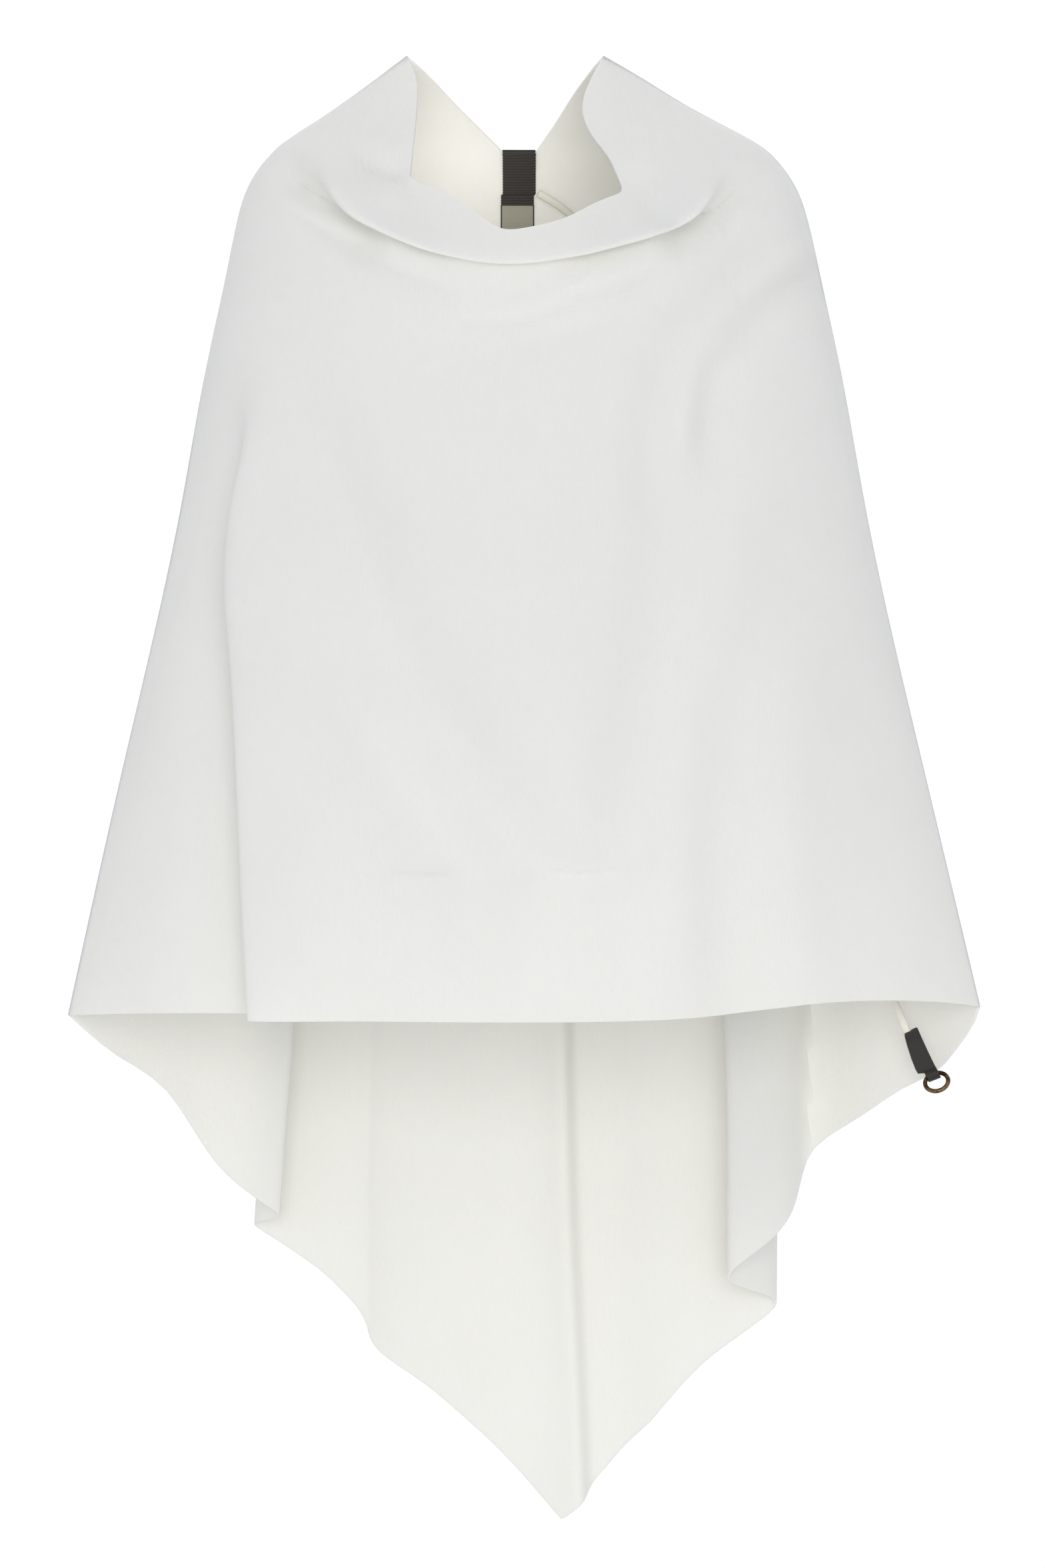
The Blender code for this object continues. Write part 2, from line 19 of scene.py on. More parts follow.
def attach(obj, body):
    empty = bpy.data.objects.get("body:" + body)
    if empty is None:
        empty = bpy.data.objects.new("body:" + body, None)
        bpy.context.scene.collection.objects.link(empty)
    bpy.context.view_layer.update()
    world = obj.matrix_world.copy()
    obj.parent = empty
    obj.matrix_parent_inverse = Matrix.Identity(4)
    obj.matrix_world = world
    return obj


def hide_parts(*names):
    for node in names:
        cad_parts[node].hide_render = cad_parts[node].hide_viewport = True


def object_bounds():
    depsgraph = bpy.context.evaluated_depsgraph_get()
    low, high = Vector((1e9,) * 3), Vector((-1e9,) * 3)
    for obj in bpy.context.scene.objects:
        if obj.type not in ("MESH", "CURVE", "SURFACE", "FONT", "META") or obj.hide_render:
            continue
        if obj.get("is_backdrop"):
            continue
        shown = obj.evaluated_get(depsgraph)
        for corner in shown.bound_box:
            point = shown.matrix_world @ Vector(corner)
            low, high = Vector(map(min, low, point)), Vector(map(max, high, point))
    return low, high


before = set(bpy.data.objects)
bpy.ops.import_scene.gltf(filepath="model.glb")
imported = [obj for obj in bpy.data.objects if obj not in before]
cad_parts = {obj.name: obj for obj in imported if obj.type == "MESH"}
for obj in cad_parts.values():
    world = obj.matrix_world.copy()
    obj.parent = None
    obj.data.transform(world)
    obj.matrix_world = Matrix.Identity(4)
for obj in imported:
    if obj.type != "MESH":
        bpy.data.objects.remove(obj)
SOLID_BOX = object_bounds()

bl_info = {
    "name": "Fleece Poncho",
    "version": (1, 0, 0),
    "blender": (4, 5, 0),
    "location": "View3D > Sidebar > Poncho",
    "description": "Makes a worn fleece poncho, its ribbons, cord and ring, and its studio",
    "category": "Add Mesh",
}

MM = 0.001

# Cloth
CLOTH = 2.4             # thickness of the brushed fleece
SEAM_GAP = 0.16         # between the two panels along the side seams
CUT_EDGE = 0.5          # how far the fibres of a cut edge bulge out
RIM = 4                 # faces round a cut edge
STEP = 0.4              # how far apart the points of a numeric slope lie
HALF_GIRTH = 300        # about half the way round a panel, for a step of that size
FAN_OUT = 0.7           # below 1, the lines spread sideways early on their way down
COLLAR = 22             # how far the lines of faces first run out from the neck's edge
COLLAR_SHARE = 0.08     # the share of their way down on which they do so
CORNER = 0.1            # the share of the neck's edge over which its corners fade
CORNER_STEPS = 11       # places over which a corner is averaged
SAMPLES = 480           # fine steps on which the lines of a panel are laid out
GATHER = 4.0            # how much closer the lines lie in a fold
GATHER_WIDE = 1.8       # over how many of its widths
THERE = 0.02            # the least size at which a fold has lines of its own
CROSSINGS = 12          # rounds that find where the columns and rows cross
SEAM_HOLD = 0.09        # share of a panel's half beside each seam that the folds leave alone
SHARP_TURN = 0.7        # cosine of the turn past which a corner of an outline stays sharp
ROUNDS = 3              # how often the other corners are cut
SHARP = math.radians(40)     # faces that meet at more than this are shaded as an edge
FLAT_LEVELS = 160       # levels at which the flat cloth is measured
FLAT_HALF = 80          # steps from a panel's middle to each seam in which it is measured
INSIDE = 0.001          # share of a step by which a place stays short of the last level
BANDS = math.pi / 10    # scale of a wave texture that has one band to a metre

# Level sections through the worn cloth. The side seams run down x_left and x_right at
# y_seam, and front and back say how far the middle of each panel stands off the seams.
# sharpness is 0.5 where a section turns round at the seam and 1 where it comes to a point.
SECTION_COLUMNS = ("z", "x_left", "x_right", "y_seam", "front", "back", "sharpness")
SECTIONS = (
    (83, -85, 62, 5, 2, 2, 0.85),
    (65, -109, 93, 6, 28, 32, 0.80),
    (45, -137, 126, 7, 46, 52, 0.72),
    (25, -167, 164, 8, 62, 68, 0.62),
    (15, -181, 181, 8, 70, 74, 0.58),
    (5, -191, 192, 8, 78, 80, 0.54),
    (-15, -204, 206, 8, 93, 90, 0.50),
    (-40, -212, 215, 8, 110, 99, 0.50),
    (-80, -220, 224, 7, 124, 108, 0.50),
    (-150, -235, 239, 6, 133, 114, 0.52),
    (-250, -253, 257, 4, 139, 118, 0.58),
    (-450, -297, 301, 0, 146, 120, 0.72),
    (-640, -339, 346, -2, 152, 122, 0.85),
    (-850, -385, 395, -2, 158, 124, 0.95),
    (-1060, -430, 440, -2, 162, 126, 1.00),
)

# Cut edges, as x and z seen from the front
FRONT_NECK = (
    (-85, 83), (-77, 63), (-77, 35), (-79, 6), (-81, -19), (-74, -26), (-63, -29.5),
    (-44, -37.5), (-33, -49), (-20, -60), (-9, -64), (9, -61), (31, -55.5), (52, -43),
    (62, -38), (69, -35), (73, -32.5), (74.5, -29), (72, -22), (69.5, -16), (66, -6), (60, 3),
    (53, 13), (47.5, 25), (45.5, 37), (48, 51), (54, 66), (62, 83),
)
BACK_NECK = (
    (-85, 83), (-66, 68.5), (-51, 55), (-33, 39.5), (-15, 23.8), (-14.2, 22), (12.2, 22),
    (13, 23.8), (28, 43), (40, 60), (51, 72), (62, 83),
)
FRONT_HEM = (
    (-339, -636), (-290, -632), (-215, -629), (-170, -633), (-80, -633), (60, -633),
    (130, -631), (175, -626), (215, -621.5), (270, -621), (320, -625), (346, -630),
)
BACK_HEM = (
    (-339, -636), (-312, -664), (-297, -674), (-281, -685), (-266, -700), (-250, -728),
    (-232, -765), (-214, -790), (-178, -808), (-160, -834), (-142, -863), (-118, -886),
    (-96, -906), (-74, -926), (-51, -949), (-21, -976), (5, -1004), (31, -1034),
    (49, -1018), (69, -993), (84, -975), (101, -959), (111, -946), (128, -925),
    (143, -901), (158, -872), (180, -846), (188, -836), (196, -822), (204, -807),
    (212, -790), (221, -765), (236, -743), (257, -722), (284, -698), (302, -688),
    (317, -680), (330, -661), (338, -648), (346, -630),
)

# The ribbon folded over the nape and the label below it
RIBBON_LEFT, RIBBON_RIGHT = -13.7, 11.7
RIBBON_THICK = 0.8
RIBBON_INSIDE = 37      # how far it reaches down inside
RIBBON_OUTSIDE = 12     # and outside
RIBBON_HEM = 8          # the folded band at its inner end
RIBBON_ACROSS = 13      # points across it
RIBBON_TURN = 17        # points round the nape's edge
RIB = 1.9               # from one of its ribs to the next
RIB_STEPS = 6           # rows of faces to a rib
RIB_DEEP = 0.16
PICOT = 0.25            # how far each rib stands out at the ribbon's two edges
PICOT_CURVE = 6         # the larger, the nearer to the edge this starts
SEAT_GAP = 0.4          # between the ribbon or the label and the fleece
NAPE = 22               # height of the back panel's cut edge there
EDGE = 0.6              # how far below that edge the ribbon starts to turn over it
REACH = 12              # how far off the cloth a point's seat is looked for
LABEL_LEFT, LABEL_RIGHT = -15.4, 10.6
LABEL_LONG = 45
LABEL_THICK = 0.6
LABEL_BORDER = 1.0      # the dark woven line down each of its edges
LABEL_BULGE = 0.15      # how far its cut ends bulge out
LABEL_ACROSS, LABEL_DOWN = 15, 40      # points across it and down it
TRIM_RIM = 3            # faces round a cut end of the label or the end tab

# The cord's route in metres, from below the nape along the inside of the back
CORD_ROUTE = (
    (0.0135, 0.088, -0.0078), (0.024, 0.0902, -0.0135), (0.04, 0.0945, -0.025),
    (0.056, 0.0993, -0.045), (0.0695, 0.1043, -0.075), (0.083, 0.1065, -0.115),
    (0.098, 0.1055, -0.16), (0.114, 0.1027, -0.21), (0.132, 0.0985, -0.262),
    (0.151, 0.0925, -0.314), (0.171, 0.085, -0.366), (0.192, 0.076, -0.418),
    (0.213, 0.064, -0.47), (0.233, 0.05, -0.52), (0.25, 0.037, -0.56),
    (0.266, 0.023, -0.596), (0.2797, 0.011, -0.623), (0.2904, 0.0051, -0.64835),
    (0.2917, 0.005, -0.6513),
)
CORD_WALES = 7          # knitted ribs round the cord
CORD_STITCH = 1.6       # length of one knitted stitch
CORD_SIDES, CORD_RINGS = 42, 1500
CORD_RELIEF = 0.5       # how deep the knitting is
CORD_RIBBED = 0.55      # the ribs' share of that depth, the stitches having the rest
CORD_LEAN = 1.4         # how steeply the stitches lean
CORD_STEPS = 200        # points along the cord's route that the end tab step lays out

# The folded ribbon on the cord's end, and the ring in its loop
TAB_TOP = Vector((293.4, 5, -648))
# The ribbon's left and right edges, at each distance below its top
TAB_EDGES = (
    (0, -5.6, 5.0), (10, -7.6, 4.8), (20, -9.0, 4.6), (29, -9.7, 4.6), (32.4, -9.3, 4.7),
    (33.4, -4.6, 4.7), (60, -4.6, 4.7),
)
TAB_SLANT = 0.35        # how much higher its top is at the right edge than in the middle
TAB_SLANT_LONG = 8      # how far down from the top that slant is lost
TAB_LAYER = 0.85        # thickness of the ribbon
TAB_INSIDE = 1.4        # between the two layers' middles, half of it to each side
TAB_FLARE = 2.4         # how far the cord inside its top end spreads each layer
TAB_FLARE_LONG = 9      # how far down they close again
TAB_PARTS = (6.5, 3.2)  # above the loop's axis the layers part, and then turn round it
TAB_PART_CURVE = 2.4    # the larger, the later they part
TAB_SHORT = 0.6         # the straight layers end this far above the loop's axis
TAB_TURN = 40           # points round the loop
TAB_TURN_START = 0.05   # angle in radians at which they start
TAB_ACROSS = 13         # points across the ribbon
TAB_RIB = 1.3
TAB_RIB_DEEP = 0.13
TAB_PICOTS = (0.28, 0.07)    # how far each rib stands out at the left and right edge
TAB_BULGE = 0.1         # how far its cut ends bulge out
LOOP = Vector((309.5, 5, -681.3))
LOOP_AXIS = Vector((math.cos(math.radians(21)), 0, math.sin(math.radians(21))))
LOOP_OUTER, LOOP_BORE = 4.4, 3.62
RING_OUTER, RING_WIRE = 20.8, 3.3
RING_ROUND, WIRE_ROUND = 96, 28        # faces round the ring and round its wire
RING_SEAT = 0.8         # the wire's middle lies this far above the hinge, inside the loop
RING_SWING = -44        # degrees from hanging in line with the ribbon, minus to the front

# Sewing along the side seams, from near the neck's peaks down to the hem
SEAM_TOP, SEAM_END = 80, -629
SEAM_SAMPLES = 4000     # fine steps down a seam
STITCH = 3.2            # from one stitch to the next
STITCH_WIDE = 2.4       # across the seam
THREAD = 0.28           # thickness of the thread
THREAD_SIDES = 6
# The middle of a stitch's thread: its place across in widths, and out in thicknesses
STITCH_BEND = ((-0.5, -1.44), (-0.36, -0.32), (0, 0.16), (0.36, -0.32), (0.5, -1.44))

# The studio, in metres
CAMERA_PLACE = (0.0015, -3.2, -0.463)
CAMERA_LENS, CAMERA_SENSOR = 97.96, 36     # both in millimetres
CAMERA_REACH = 60       # how far it sees
FLOOR_RADIUS, FLOOR_SIDES = 1.85, 96
BACKDROP = 1.06         # strength of the white air behind the garment
CHEST = (0, 0, -0.35)   # what the two large lights aim at
# Each soft light's name, the setting with its power, its size, place and goal, and its
# spread in degrees
LIGHTS = (
    ("key_light", "key", 2.6, (0, -4.3, -0.2), CHEST, 180),
    ("crown_light", "crown", 2.0, (0, 2.2, 1.8), CHEST, 180),
    ("neck_fill", "fill", 0.08, (-0.03, -0.04, -0.1), (-0.055, 0.08, 0.03), 75),
)


class FleeceSettings(PropertyGroup):
    """The brushed knit of the two panels."""

    colour: FloatVectorProperty(
        name="Colour", description="The fleece in plain light", subtype="COLOR",
        size=3, min=0, max=1, default=(0.852, 0.845, 0.805),
    )
    wale: FloatProperty(
        name="Wale", description="From one column of knitted stitches to the next",
        default=1.4 * MM, unit="LENGTH", precision=4,
    )
    nap: FloatProperty(
        name="Nap", description="Size of the tufts of brushed fibre",
        default=1.1 * MM, unit="LENGTH", precision=4,
    )
    columns: IntProperty(
        name="Columns", description="Faces across a panel", default=200, min=40, max=240,
    )
    rows: IntProperty(
        name="Rows", description="Faces down a panel", default=200, min=30, max=220,
    )


class TrimSettings(PropertyGroup):
    """The ribbons, the label, the cord and the ring."""

    cord: FloatProperty(
        name="Cord", description="Thickness of the knitted cord",
        default=5.6 * MM, unit="LENGTH", precision=4,
    )
    metal: FloatVectorProperty(
        name="Metal", description="The ring's polished high places", subtype="COLOR",
        size=3, min=0, max=1, default=(0.39, 0.235, 0.125),
    )


class StudioSettings(PropertyGroup):
    """The pale floor, the light and the camera."""

    floor: FloatProperty(
        name="Floor", description="Height of the floor below the shoulders",
        default=-1.4, unit="LENGTH",
    )
    ambient: FloatProperty(
        name="Ambient", description="Strength of the light from all round", default=0.72, min=0,
    )
    key: FloatProperty(
        name="Key", description="Power of the large soft light in watts", default=69, min=0,
    )
    crown: FloatProperty(
        name="Crown", description="Power of the light from high behind in watts", default=25,
        min=0,
    )
    fill: FloatProperty(
        name="Fill", description="Power of the small light inside the neck in watts",
        default=0.02, min=0,
    )


class PonchoSettings(PropertyGroup):
    """All that a user may change."""

    fleece: PointerProperty(type=FleeceSettings)
    trim: PointerProperty(type=TrimSettings)
    studio: PointerProperty(type=StudioSettings)


def spline(knots, values):
    """A natural cubic spline through the points, as a function."""
    knots = np.asarray(knots, float)
    values = np.asarray(values, float)
    if knots[0] > knots[-1]:
        knots, values = knots[::-1], values[::-1]
    count = len(knots)
    gap = np.diff(knots)
    slope = np.diff(values) / gap
    matrix = np.eye(count)
    right = np.zeros(count)
    for i in range(1, count - 1):
        matrix[i, i - 1:i + 2] = gap[i - 1], 2 * (gap[i - 1] + gap[i]), gap[i]
        right[i] = 6 * (slope[i] - slope[i - 1])
    bend = np.linalg.solve(matrix, right)

    def at(where):
        where = np.clip(where, knots[0], knots[-1])
        i = np.clip(np.searchsorted(knots, where, side="right") - 1, 0, count - 2)
        a, b = (knots[i + 1] - where), (where - knots[i])
        h = gap[i]
        return (
            (bend[i] * a**3 + bend[i + 1] * b**3) / (6 * h)
            + (values[i] / h - bend[i] * h / 6) * a
            + (values[i + 1] / h - bend[i + 1] * h / 6) * b
        )

    return at


SECTION = {
    name: spline([row[0] for row in SECTIONS], [row[i] for row in SECTIONS])
    for i, name in enumerate(SECTION_COLUMNS)
}


def middle_and_half(z):
    """The middle and half the width of the level section at z."""
    left, right = SECTION["x_left"](z), SECTION["x_right"](z)
    return (left + right) / 2, (right - left) / 2


def across_at(x, z):
    """How far round its panel a point lies, from -1 at x_left to 1 at x_right."""
    middle, half = middle_and_half(z)
    return np.arcsin(np.clip((x - middle) / half, -1, 1)) * 2 / math.pi


def lengths(line):
    """The length of a line up to each of its points."""
    return np.concatenate([[0], np.cumsum(np.linalg.norm(np.diff(line, axis=0), axis=1))])


def shares(x, z):
    """The share of a line's length up to each of its points."""
    run = lengths(np.stack([x, z], axis=1))
    return run / run[-1]


def unit(ways):
    """Directions of length 1."""
    return ways / np.linalg.norm(ways, axis=-1, keepdims=True)


def ease(low, high, at):
    """0 at low, 1 at high, and smooth between them."""
    t = np.clip((at - low) / (high - low), 0, 1)
    return t * t * (3 - 2 * t)


def soften(outline):
    """An outline with its slight corners rounded and its sharp ones kept, as x and z."""
    points = np.array(outline, float)
    for _ in range(ROUNDS):
        way = unit(np.diff(points, axis=0))
        turn = (way[1:] * way[:-1]).sum(axis=1)
        made = [points[0]]
        for i, cosine in enumerate(turn, 1):
            if cosine < SHARP_TURN:
                made.append(points[i])
            else:
                made += [points[i] + (points[j] - points[i]) / 4 for j in (i - 1, i + 1)]
        points = np.array([*made, points[-1]])
    return points.T


class Fold:
    """A fold of the cloth, along a path.

    A drop runs down the cloth and its path gives x for each z. A swag runs across it and
    its path gives z for each x. width is half the band of cloth that it takes. overlap
    moves the cloth on both sides towards the path, and past it where it is over 0.6 of
    width. step moves the side with the larger x or z out, and the other side in. ridge
    moves the line itself out. fade gives the four places along the path between which
    the fold grows and dies away. A line of the panel's faces runs along a guide.
    """

    def __init__(self, kind, path, width, overlap, step, ridge, fade, guide=False):
        self.drop = kind == "drop"
        self.path = spline([p[0] for p in path], [p[1] for p in path])
        self.width, self.overlap, self.step, self.ridge = width, overlap, step, ridge
        self.fade = sorted(fade)
        self.guide = guide

    def measure(self, x, z):
        """How far a point lies past the path, square to it, the path's slope there, and
        the fold's size from 0 to 1."""
        along, across = (z, x) if self.drop else (x, z)
        slope = (self.path(along + STEP) - self.path(along - STEP)) / (2 * STEP)
        low, low_full, high_full, high = self.fade
        size = ease(low, low_full, along) * (1 - ease(high_full, high, along))
        return (across - self.path(along)) / np.hypot(1, slope), slope, size

    def shift(self, x, z):
        """How far a point moves across, up and out."""
        past, slope, size = self.measure(x, z)
        t = past / self.width
        odd = size * t * np.exp((1 - t * t) / 2)
        even = size * np.exp(-t * t / 2)
        square = -self.overlap * odd / np.hypot(1, slope)
        moves = (square, -slope * square) if self.drop else (-slope * square, square)
        return *moves, self.step * odd + self.ridge * even


COWL_LINE = (
    (-200, 11), (-180, 4), (-166, -6), (-150, -19), (-140, -27), (-119, -48), (-99, -62),
    (-74, -73.5), (-54, -81), (-29, -87), (-8, -88.5), (24, -85.5), (52, -78.5), (77, -71.5),
    (101, -63), (118, -53), (130, -41.5), (147, -27), (160, -15.5), (178, -6), (195, 2),
)
FRONT_FOLDS = (
    # the cowl's roll leans out over the chest and lies close on it
    Fold("swag", COWL_LINE, 8, 7.5, 3, 0, (-165, -105, 112, 150), guide=True),
    Fold("swag", COWL_LINE, 15, 1, 2, 9, (-175, -120, 110, 160)),
    Fold("swag", COWL_LINE, 7, 3, 3.5, 0, (-150, -118, -70, -40)),
    Fold("swag", COWL_LINE, 7, 3, 3, 0, (20, 50, 125, 150)),
    # it opens into a soft valley towards each shoulder
    Fold("swag", ((-200, 2), (-180, -4), (-166, -10), (-150, -22), (-140, -31), (-119, -53),
                  (-99, -68)),
         9, 2, 6, -12, (-190, -165, -125, -92)),
    Fold("swag", ((90, -74), (118, -60), (130, -47), (147, -31), (160, -20), (178, -12)),
         8, 1, 5, -11, (95, 125, 155, 185)),
    # a lip where the roll meets the left side of the neck
    Fold("swag", ((-150, 2), (-135, -6), (-124, -13), (-113, -19.5), (-97, -24.5),
                  (-81, -27.5), (-60, -32)),
         10, 0, -5, 0, (-145, -112, -94, -78)),
    # softer swags below it
    Fold("swag", ((-190, -36), (-175, -41), (-160, -48), (-139, -60), (-112, -77), (-94, -88),
                  (-73, -96), (-51, -104), (-36, -109)),
         6, 1, 3, -2.5, (-185, -140, -80, -36)),
    Fold("swag", ((-60, -124), (-24, -129), (0, -128), (17, -123), (41, -113), (65, -105),
                  (90, -95), (111, -83), (130, -70)),
         7, 1, 3.5, -2.5, (-60, 5, 70, 125)),
    Fold("swag", ((-60, -146), (0, -142), (30, -134), (60, -124), (90, -112)),
         10, 0, 3, -2, (-40, 15, 50, 90)),
    # soft lines that run down from the shoulders
    Fold("drop", ((-40, 200), (-71, 190), (-122, 151), (-179, 119), (-240, 108)),
         17, 0, 8, -8, (-300, -210, -90, -45)),
    Fold("drop", ((-207, 166), (-258, 134), (-338, 117), (-406, 106), (-520, 90)),
         24, 0, 8, -8, (-640, -520, -280, -180)),
    Fold("drop", ((-120, -178), (-179, -172), (-293, -138), (-389, -98), (-452, -58),
                  (-526, -7)),
         26, 0, -10, -6, (-640, -500, -280, -130)),
    Fold("drop", ((-320, 170), (-463, 163), (-640, 176)),
         26, 0, 8, -6, (-800, -640, -450, -300)),
    # the deep fold at the left, where the middle of the front laps over the side
    Fold("drop", ((-120, -200), (-167, -201), (-247, -203), (-350, -197), (-463, -191),
                  (-548, -187), (-660, -181)),
         23, 28, 26, -10, (-800, -640, -340, -130), guide=True),
)
# Shallow creases that the folds above leave in the cloth round the neck and shoulders
FRONT_CREASES = (
    Fold("drop", ((-60, 218), (-74, 206), (-95, 186), (-113, 169), (-134, 152), (-152, 139),
                  (-170, 132), (-194, 127), (-240, 124)),
         14, 0, -11, -5, (-260, -190, -90, -55)),
    Fold("drop", ((-10, 96), (-30, 88), (-50, 92), (-75, 104)), 8, 0, 0, -4, (-62, -42, -26, -8)),
)
BACK_FOLDS = (
    Fold("drop", ((-200, -215), (-450, -198), (-640, -185), (-715, -190), (-790, -195.5),
                  (-850, -199)),
         18, 19, 22, 0, (-1100, -1000, -620, -300), guide=True),
    Fold("drop", ((-200, 150), (-450, 163), (-640, 173), (-850, 174), (-900, 174)),
         15, 31, -26, 0, (-1100, -1000, -640, -420), guide=True),
    Fold("drop", ((-200, 230), (-450, 225), (-640, 217), (-800, 216)),
         20, 16, 18, 0, (-1100, -1000, -640, -420)),
    Fold("drop", ((-200, -60), (-640, -117), (-950, -119)),
         22, 10, 0, -10, (-1100, -1000, -620, -250)),
    Fold("drop", ((-200, 20), (-640, 36), (-790, 40), (-850, 42.5), (-920, 46), (-1010, 50)),
         8, 2, 5, 0, (-1200, -1100, -620, -250), guide=True),
    Fold("drop", ((-200, 30), (-640, 46), (-790, 50), (-920, 56), (-1010, 59)),
         20, 1, 8, 0, (-1200, -1100, -620, -250)),
)


def lay_out(count, weight, stops):
    """Where count + 1 lines cross a strip, at each sample along it.

    Each row of weight says how closely the lines lie across the strip, and each of stops
    gives the place, from 0 to 1, that one of the lines keeps to.
    """
    place = np.linspace(0, 1, weight.shape[1])
    run = np.cumsum((weight[:, 1:] + weight[:, :-1]) / 2, axis=1)
    run = np.concatenate([np.zeros((len(run), 1)), run], axis=1)
    run /= run[:, -1:]
    fixed = np.stack([np.zeros(len(run)), *stops, np.ones(len(run))], axis=1)
    fixed_run = np.array([np.interp(f, place, r) for f, r in zip(fixed, run)])
    index = np.round(fixed_run.mean(axis=0) * count)
    wanted = [np.interp(np.arange(count + 1), index, f) for f in fixed_run]
    return np.array([np.interp(w, r, place) for w, r in zip(wanted, run)]).T


class ClothPanel:
    """One panel of cloth: its side of the body, its two cut edges and its folds."""

    def __init__(self, side, neck, hem, folds):
        self.side, self.folds = side, folds
        neck, hem = soften(neck), soften(hem)
        self.neck, self.hem = self.trace(*neck, shares(*neck)), self.trace(*hem, shares(*hem))
        self.collar = self.trace(*self.widen(*neck))

    @staticmethod
    def trace(x, z, run):
        """A line through points as a function of its share, which gives s and z."""

        def at(share):
            level = np.interp(share, run, z)
            return across_at(np.interp(share, run, x), level), level

        return at

    @staticmethod
    def widen(x, z):
        """The neck's edge with its corners rounded and set out into the cloth, but for
        its ends, and the share of each of its points."""
        run = shares(x, z)
        place = np.linspace(0, 1, SAMPLES + 1)
        ends = np.minimum(place, 1 - place)
        reach = np.minimum(CORNER, ends)
        near = [place + reach * part for part in np.linspace(-1, 1, CORNER_STEPS)]
        x, z = (sum(np.interp(at, run, line) for at in near) / len(near) for line in (x, z))
        way_x, way_z = np.gradient(x), np.gradient(z)
        out = COLLAR * ease(0, CORNER, ends) / np.hypot(way_x, way_z)
        return x + way_z * out, z - way_x * out, place

    def between(self, across, down):
        """s and z at a share of the way across and down between the two cut edges."""
        off = 1 - (1 - np.minimum(down / COLLAR_SHARE, 1)) ** 2
        lines = zip(self.neck(across), self.collar(across), self.hem(across), (FAN_OUT, 1))
        for edge, collar, hem, power in lines:
            start = edge + (collar - edge) * off
            yield start + (hem - start) * down**power

    def base(self, s, z):
        """The unfolded cloth. s runs from -1 at x_left to 1 at x_right."""
        turn = np.clip(s, -1, 1) * math.pi / 2
        middle, half = middle_and_half(z)
        depth = SECTION["front" if self.side < 0 else "back"](z)
        bulge = depth * np.maximum(np.cos(turn), 0) ** (2 * SECTION["sharpness"](z))
        x = middle + half * np.sin(turn)
        y = SECTION["y_seam"](z) + self.side * (SEAM_GAP / 2 + bulge)
        return np.stack([x, y, z + 0 * x], axis=-1)

    def frame(self, surface, s, z):
        """The unit directions across, up and out of a surface at a point."""
        span = STEP / HALF_GIRTH
        across = unit(surface(np.minimum(s + span, 1), z) - surface(np.maximum(s - span, -1), z))
        up = unit(surface(s, z + STEP) - surface(s, z - STEP))
        return across, up, unit(np.cross(across, up) * -self.side)

    def surface(self, s, z):
        """The middle of the cloth's thickness, folds and all."""
        point = self.base(s, z)
        across, up, out = self.frame(self.base, s, z)
        free = ease(0, SEAM_HOLD, 1 - np.abs(s))
        moved = point.copy()
        for fold in self.folds:
            moves = fold.shift(point[..., 0], point[..., 2])
            for way, length in zip((across, up, out), moves):
                moved += way * (free * length)[..., None]
        return moved

    def lines(self, count, drop):
        """Columns of faces that run along the drops, or rows along the swags."""
        place = np.linspace(0, 1, SAMPLES + 1)
        along, across = np.meshgrid(place, place, indexing="ij")
        s, z = self.between(across, along) if drop else self.between(along, across)
        point = self.base(s, z)
        weight = np.ones_like(s)
        stops = []
        for fold in self.folds:
            if fold.drop != drop:
                continue
            past, _, size = fold.measure(point[..., 0], point[..., 2])
            if fold.guide:
                weight += GATHER * size * np.exp(-((past / fold.width / GATHER_WIDE) ** 2))
                past = past if drop else -past
                stop = np.array([np.interp(0, row, place) for row in past])
                there = np.array([np.interp(p, place, row) for p, row in zip(stop, size)])
                kept = there > THERE
                stops.append(np.interp(place, place[kept], stop[kept]))
        stops.sort(key=np.mean)
        return lay_out(count, weight, stops)

    def grid(self, columns, rows):
        """Points of the sheet's outer and inner faces, rows from the neck to the hem, and
        where each lies on the flat cloth."""
        place = np.linspace(0, 1, SAMPLES + 1)
        column_lines, row_lines = self.lines(columns, True), self.lines(rows, False)
        down, across = np.meshgrid(
            np.linspace(0, 1, rows + 1), np.linspace(0, 1, columns + 1), indexing="ij"
        )
        for _ in range(CROSSINGS):
            across = np.array(
                [np.interp(d, place, line) for d, line in zip(down.T, column_lines)]
            ).T
            down = np.array([np.interp(a, place, line) for a, line in zip(across, row_lines)])
        s, z = self.between(across, down)
        s[:, 0], s[:, -1] = -1, 1
        middle = self.surface(s, z)
        _, _, out = self.frame(self.surface, s, z)
        # at the seams the thickness lies in the seam's own plane, as in a mitred joint
        for column, way in ((0, -1), (-1, 1)):
            slope = np.gradient(middle[:, column], axis=0)
            flat = np.cross(slope, (0, 1, 0))
            out[:, column] = unit(flat * np.sign(flat[:, :1]) * way)
        faces = [middle + out * CLOTH / 2, middle - out * CLOTH / 2]
        for face in faces:
            seam = SECTION["y_seam"](face[..., 2]) + self.side * SEAM_GAP / 2
            clear = self.side * np.maximum(self.side * (face[..., 1] - seam), 0)
            face[..., 1] = seam + clear
        return *faces, self.flat_place(s, z)

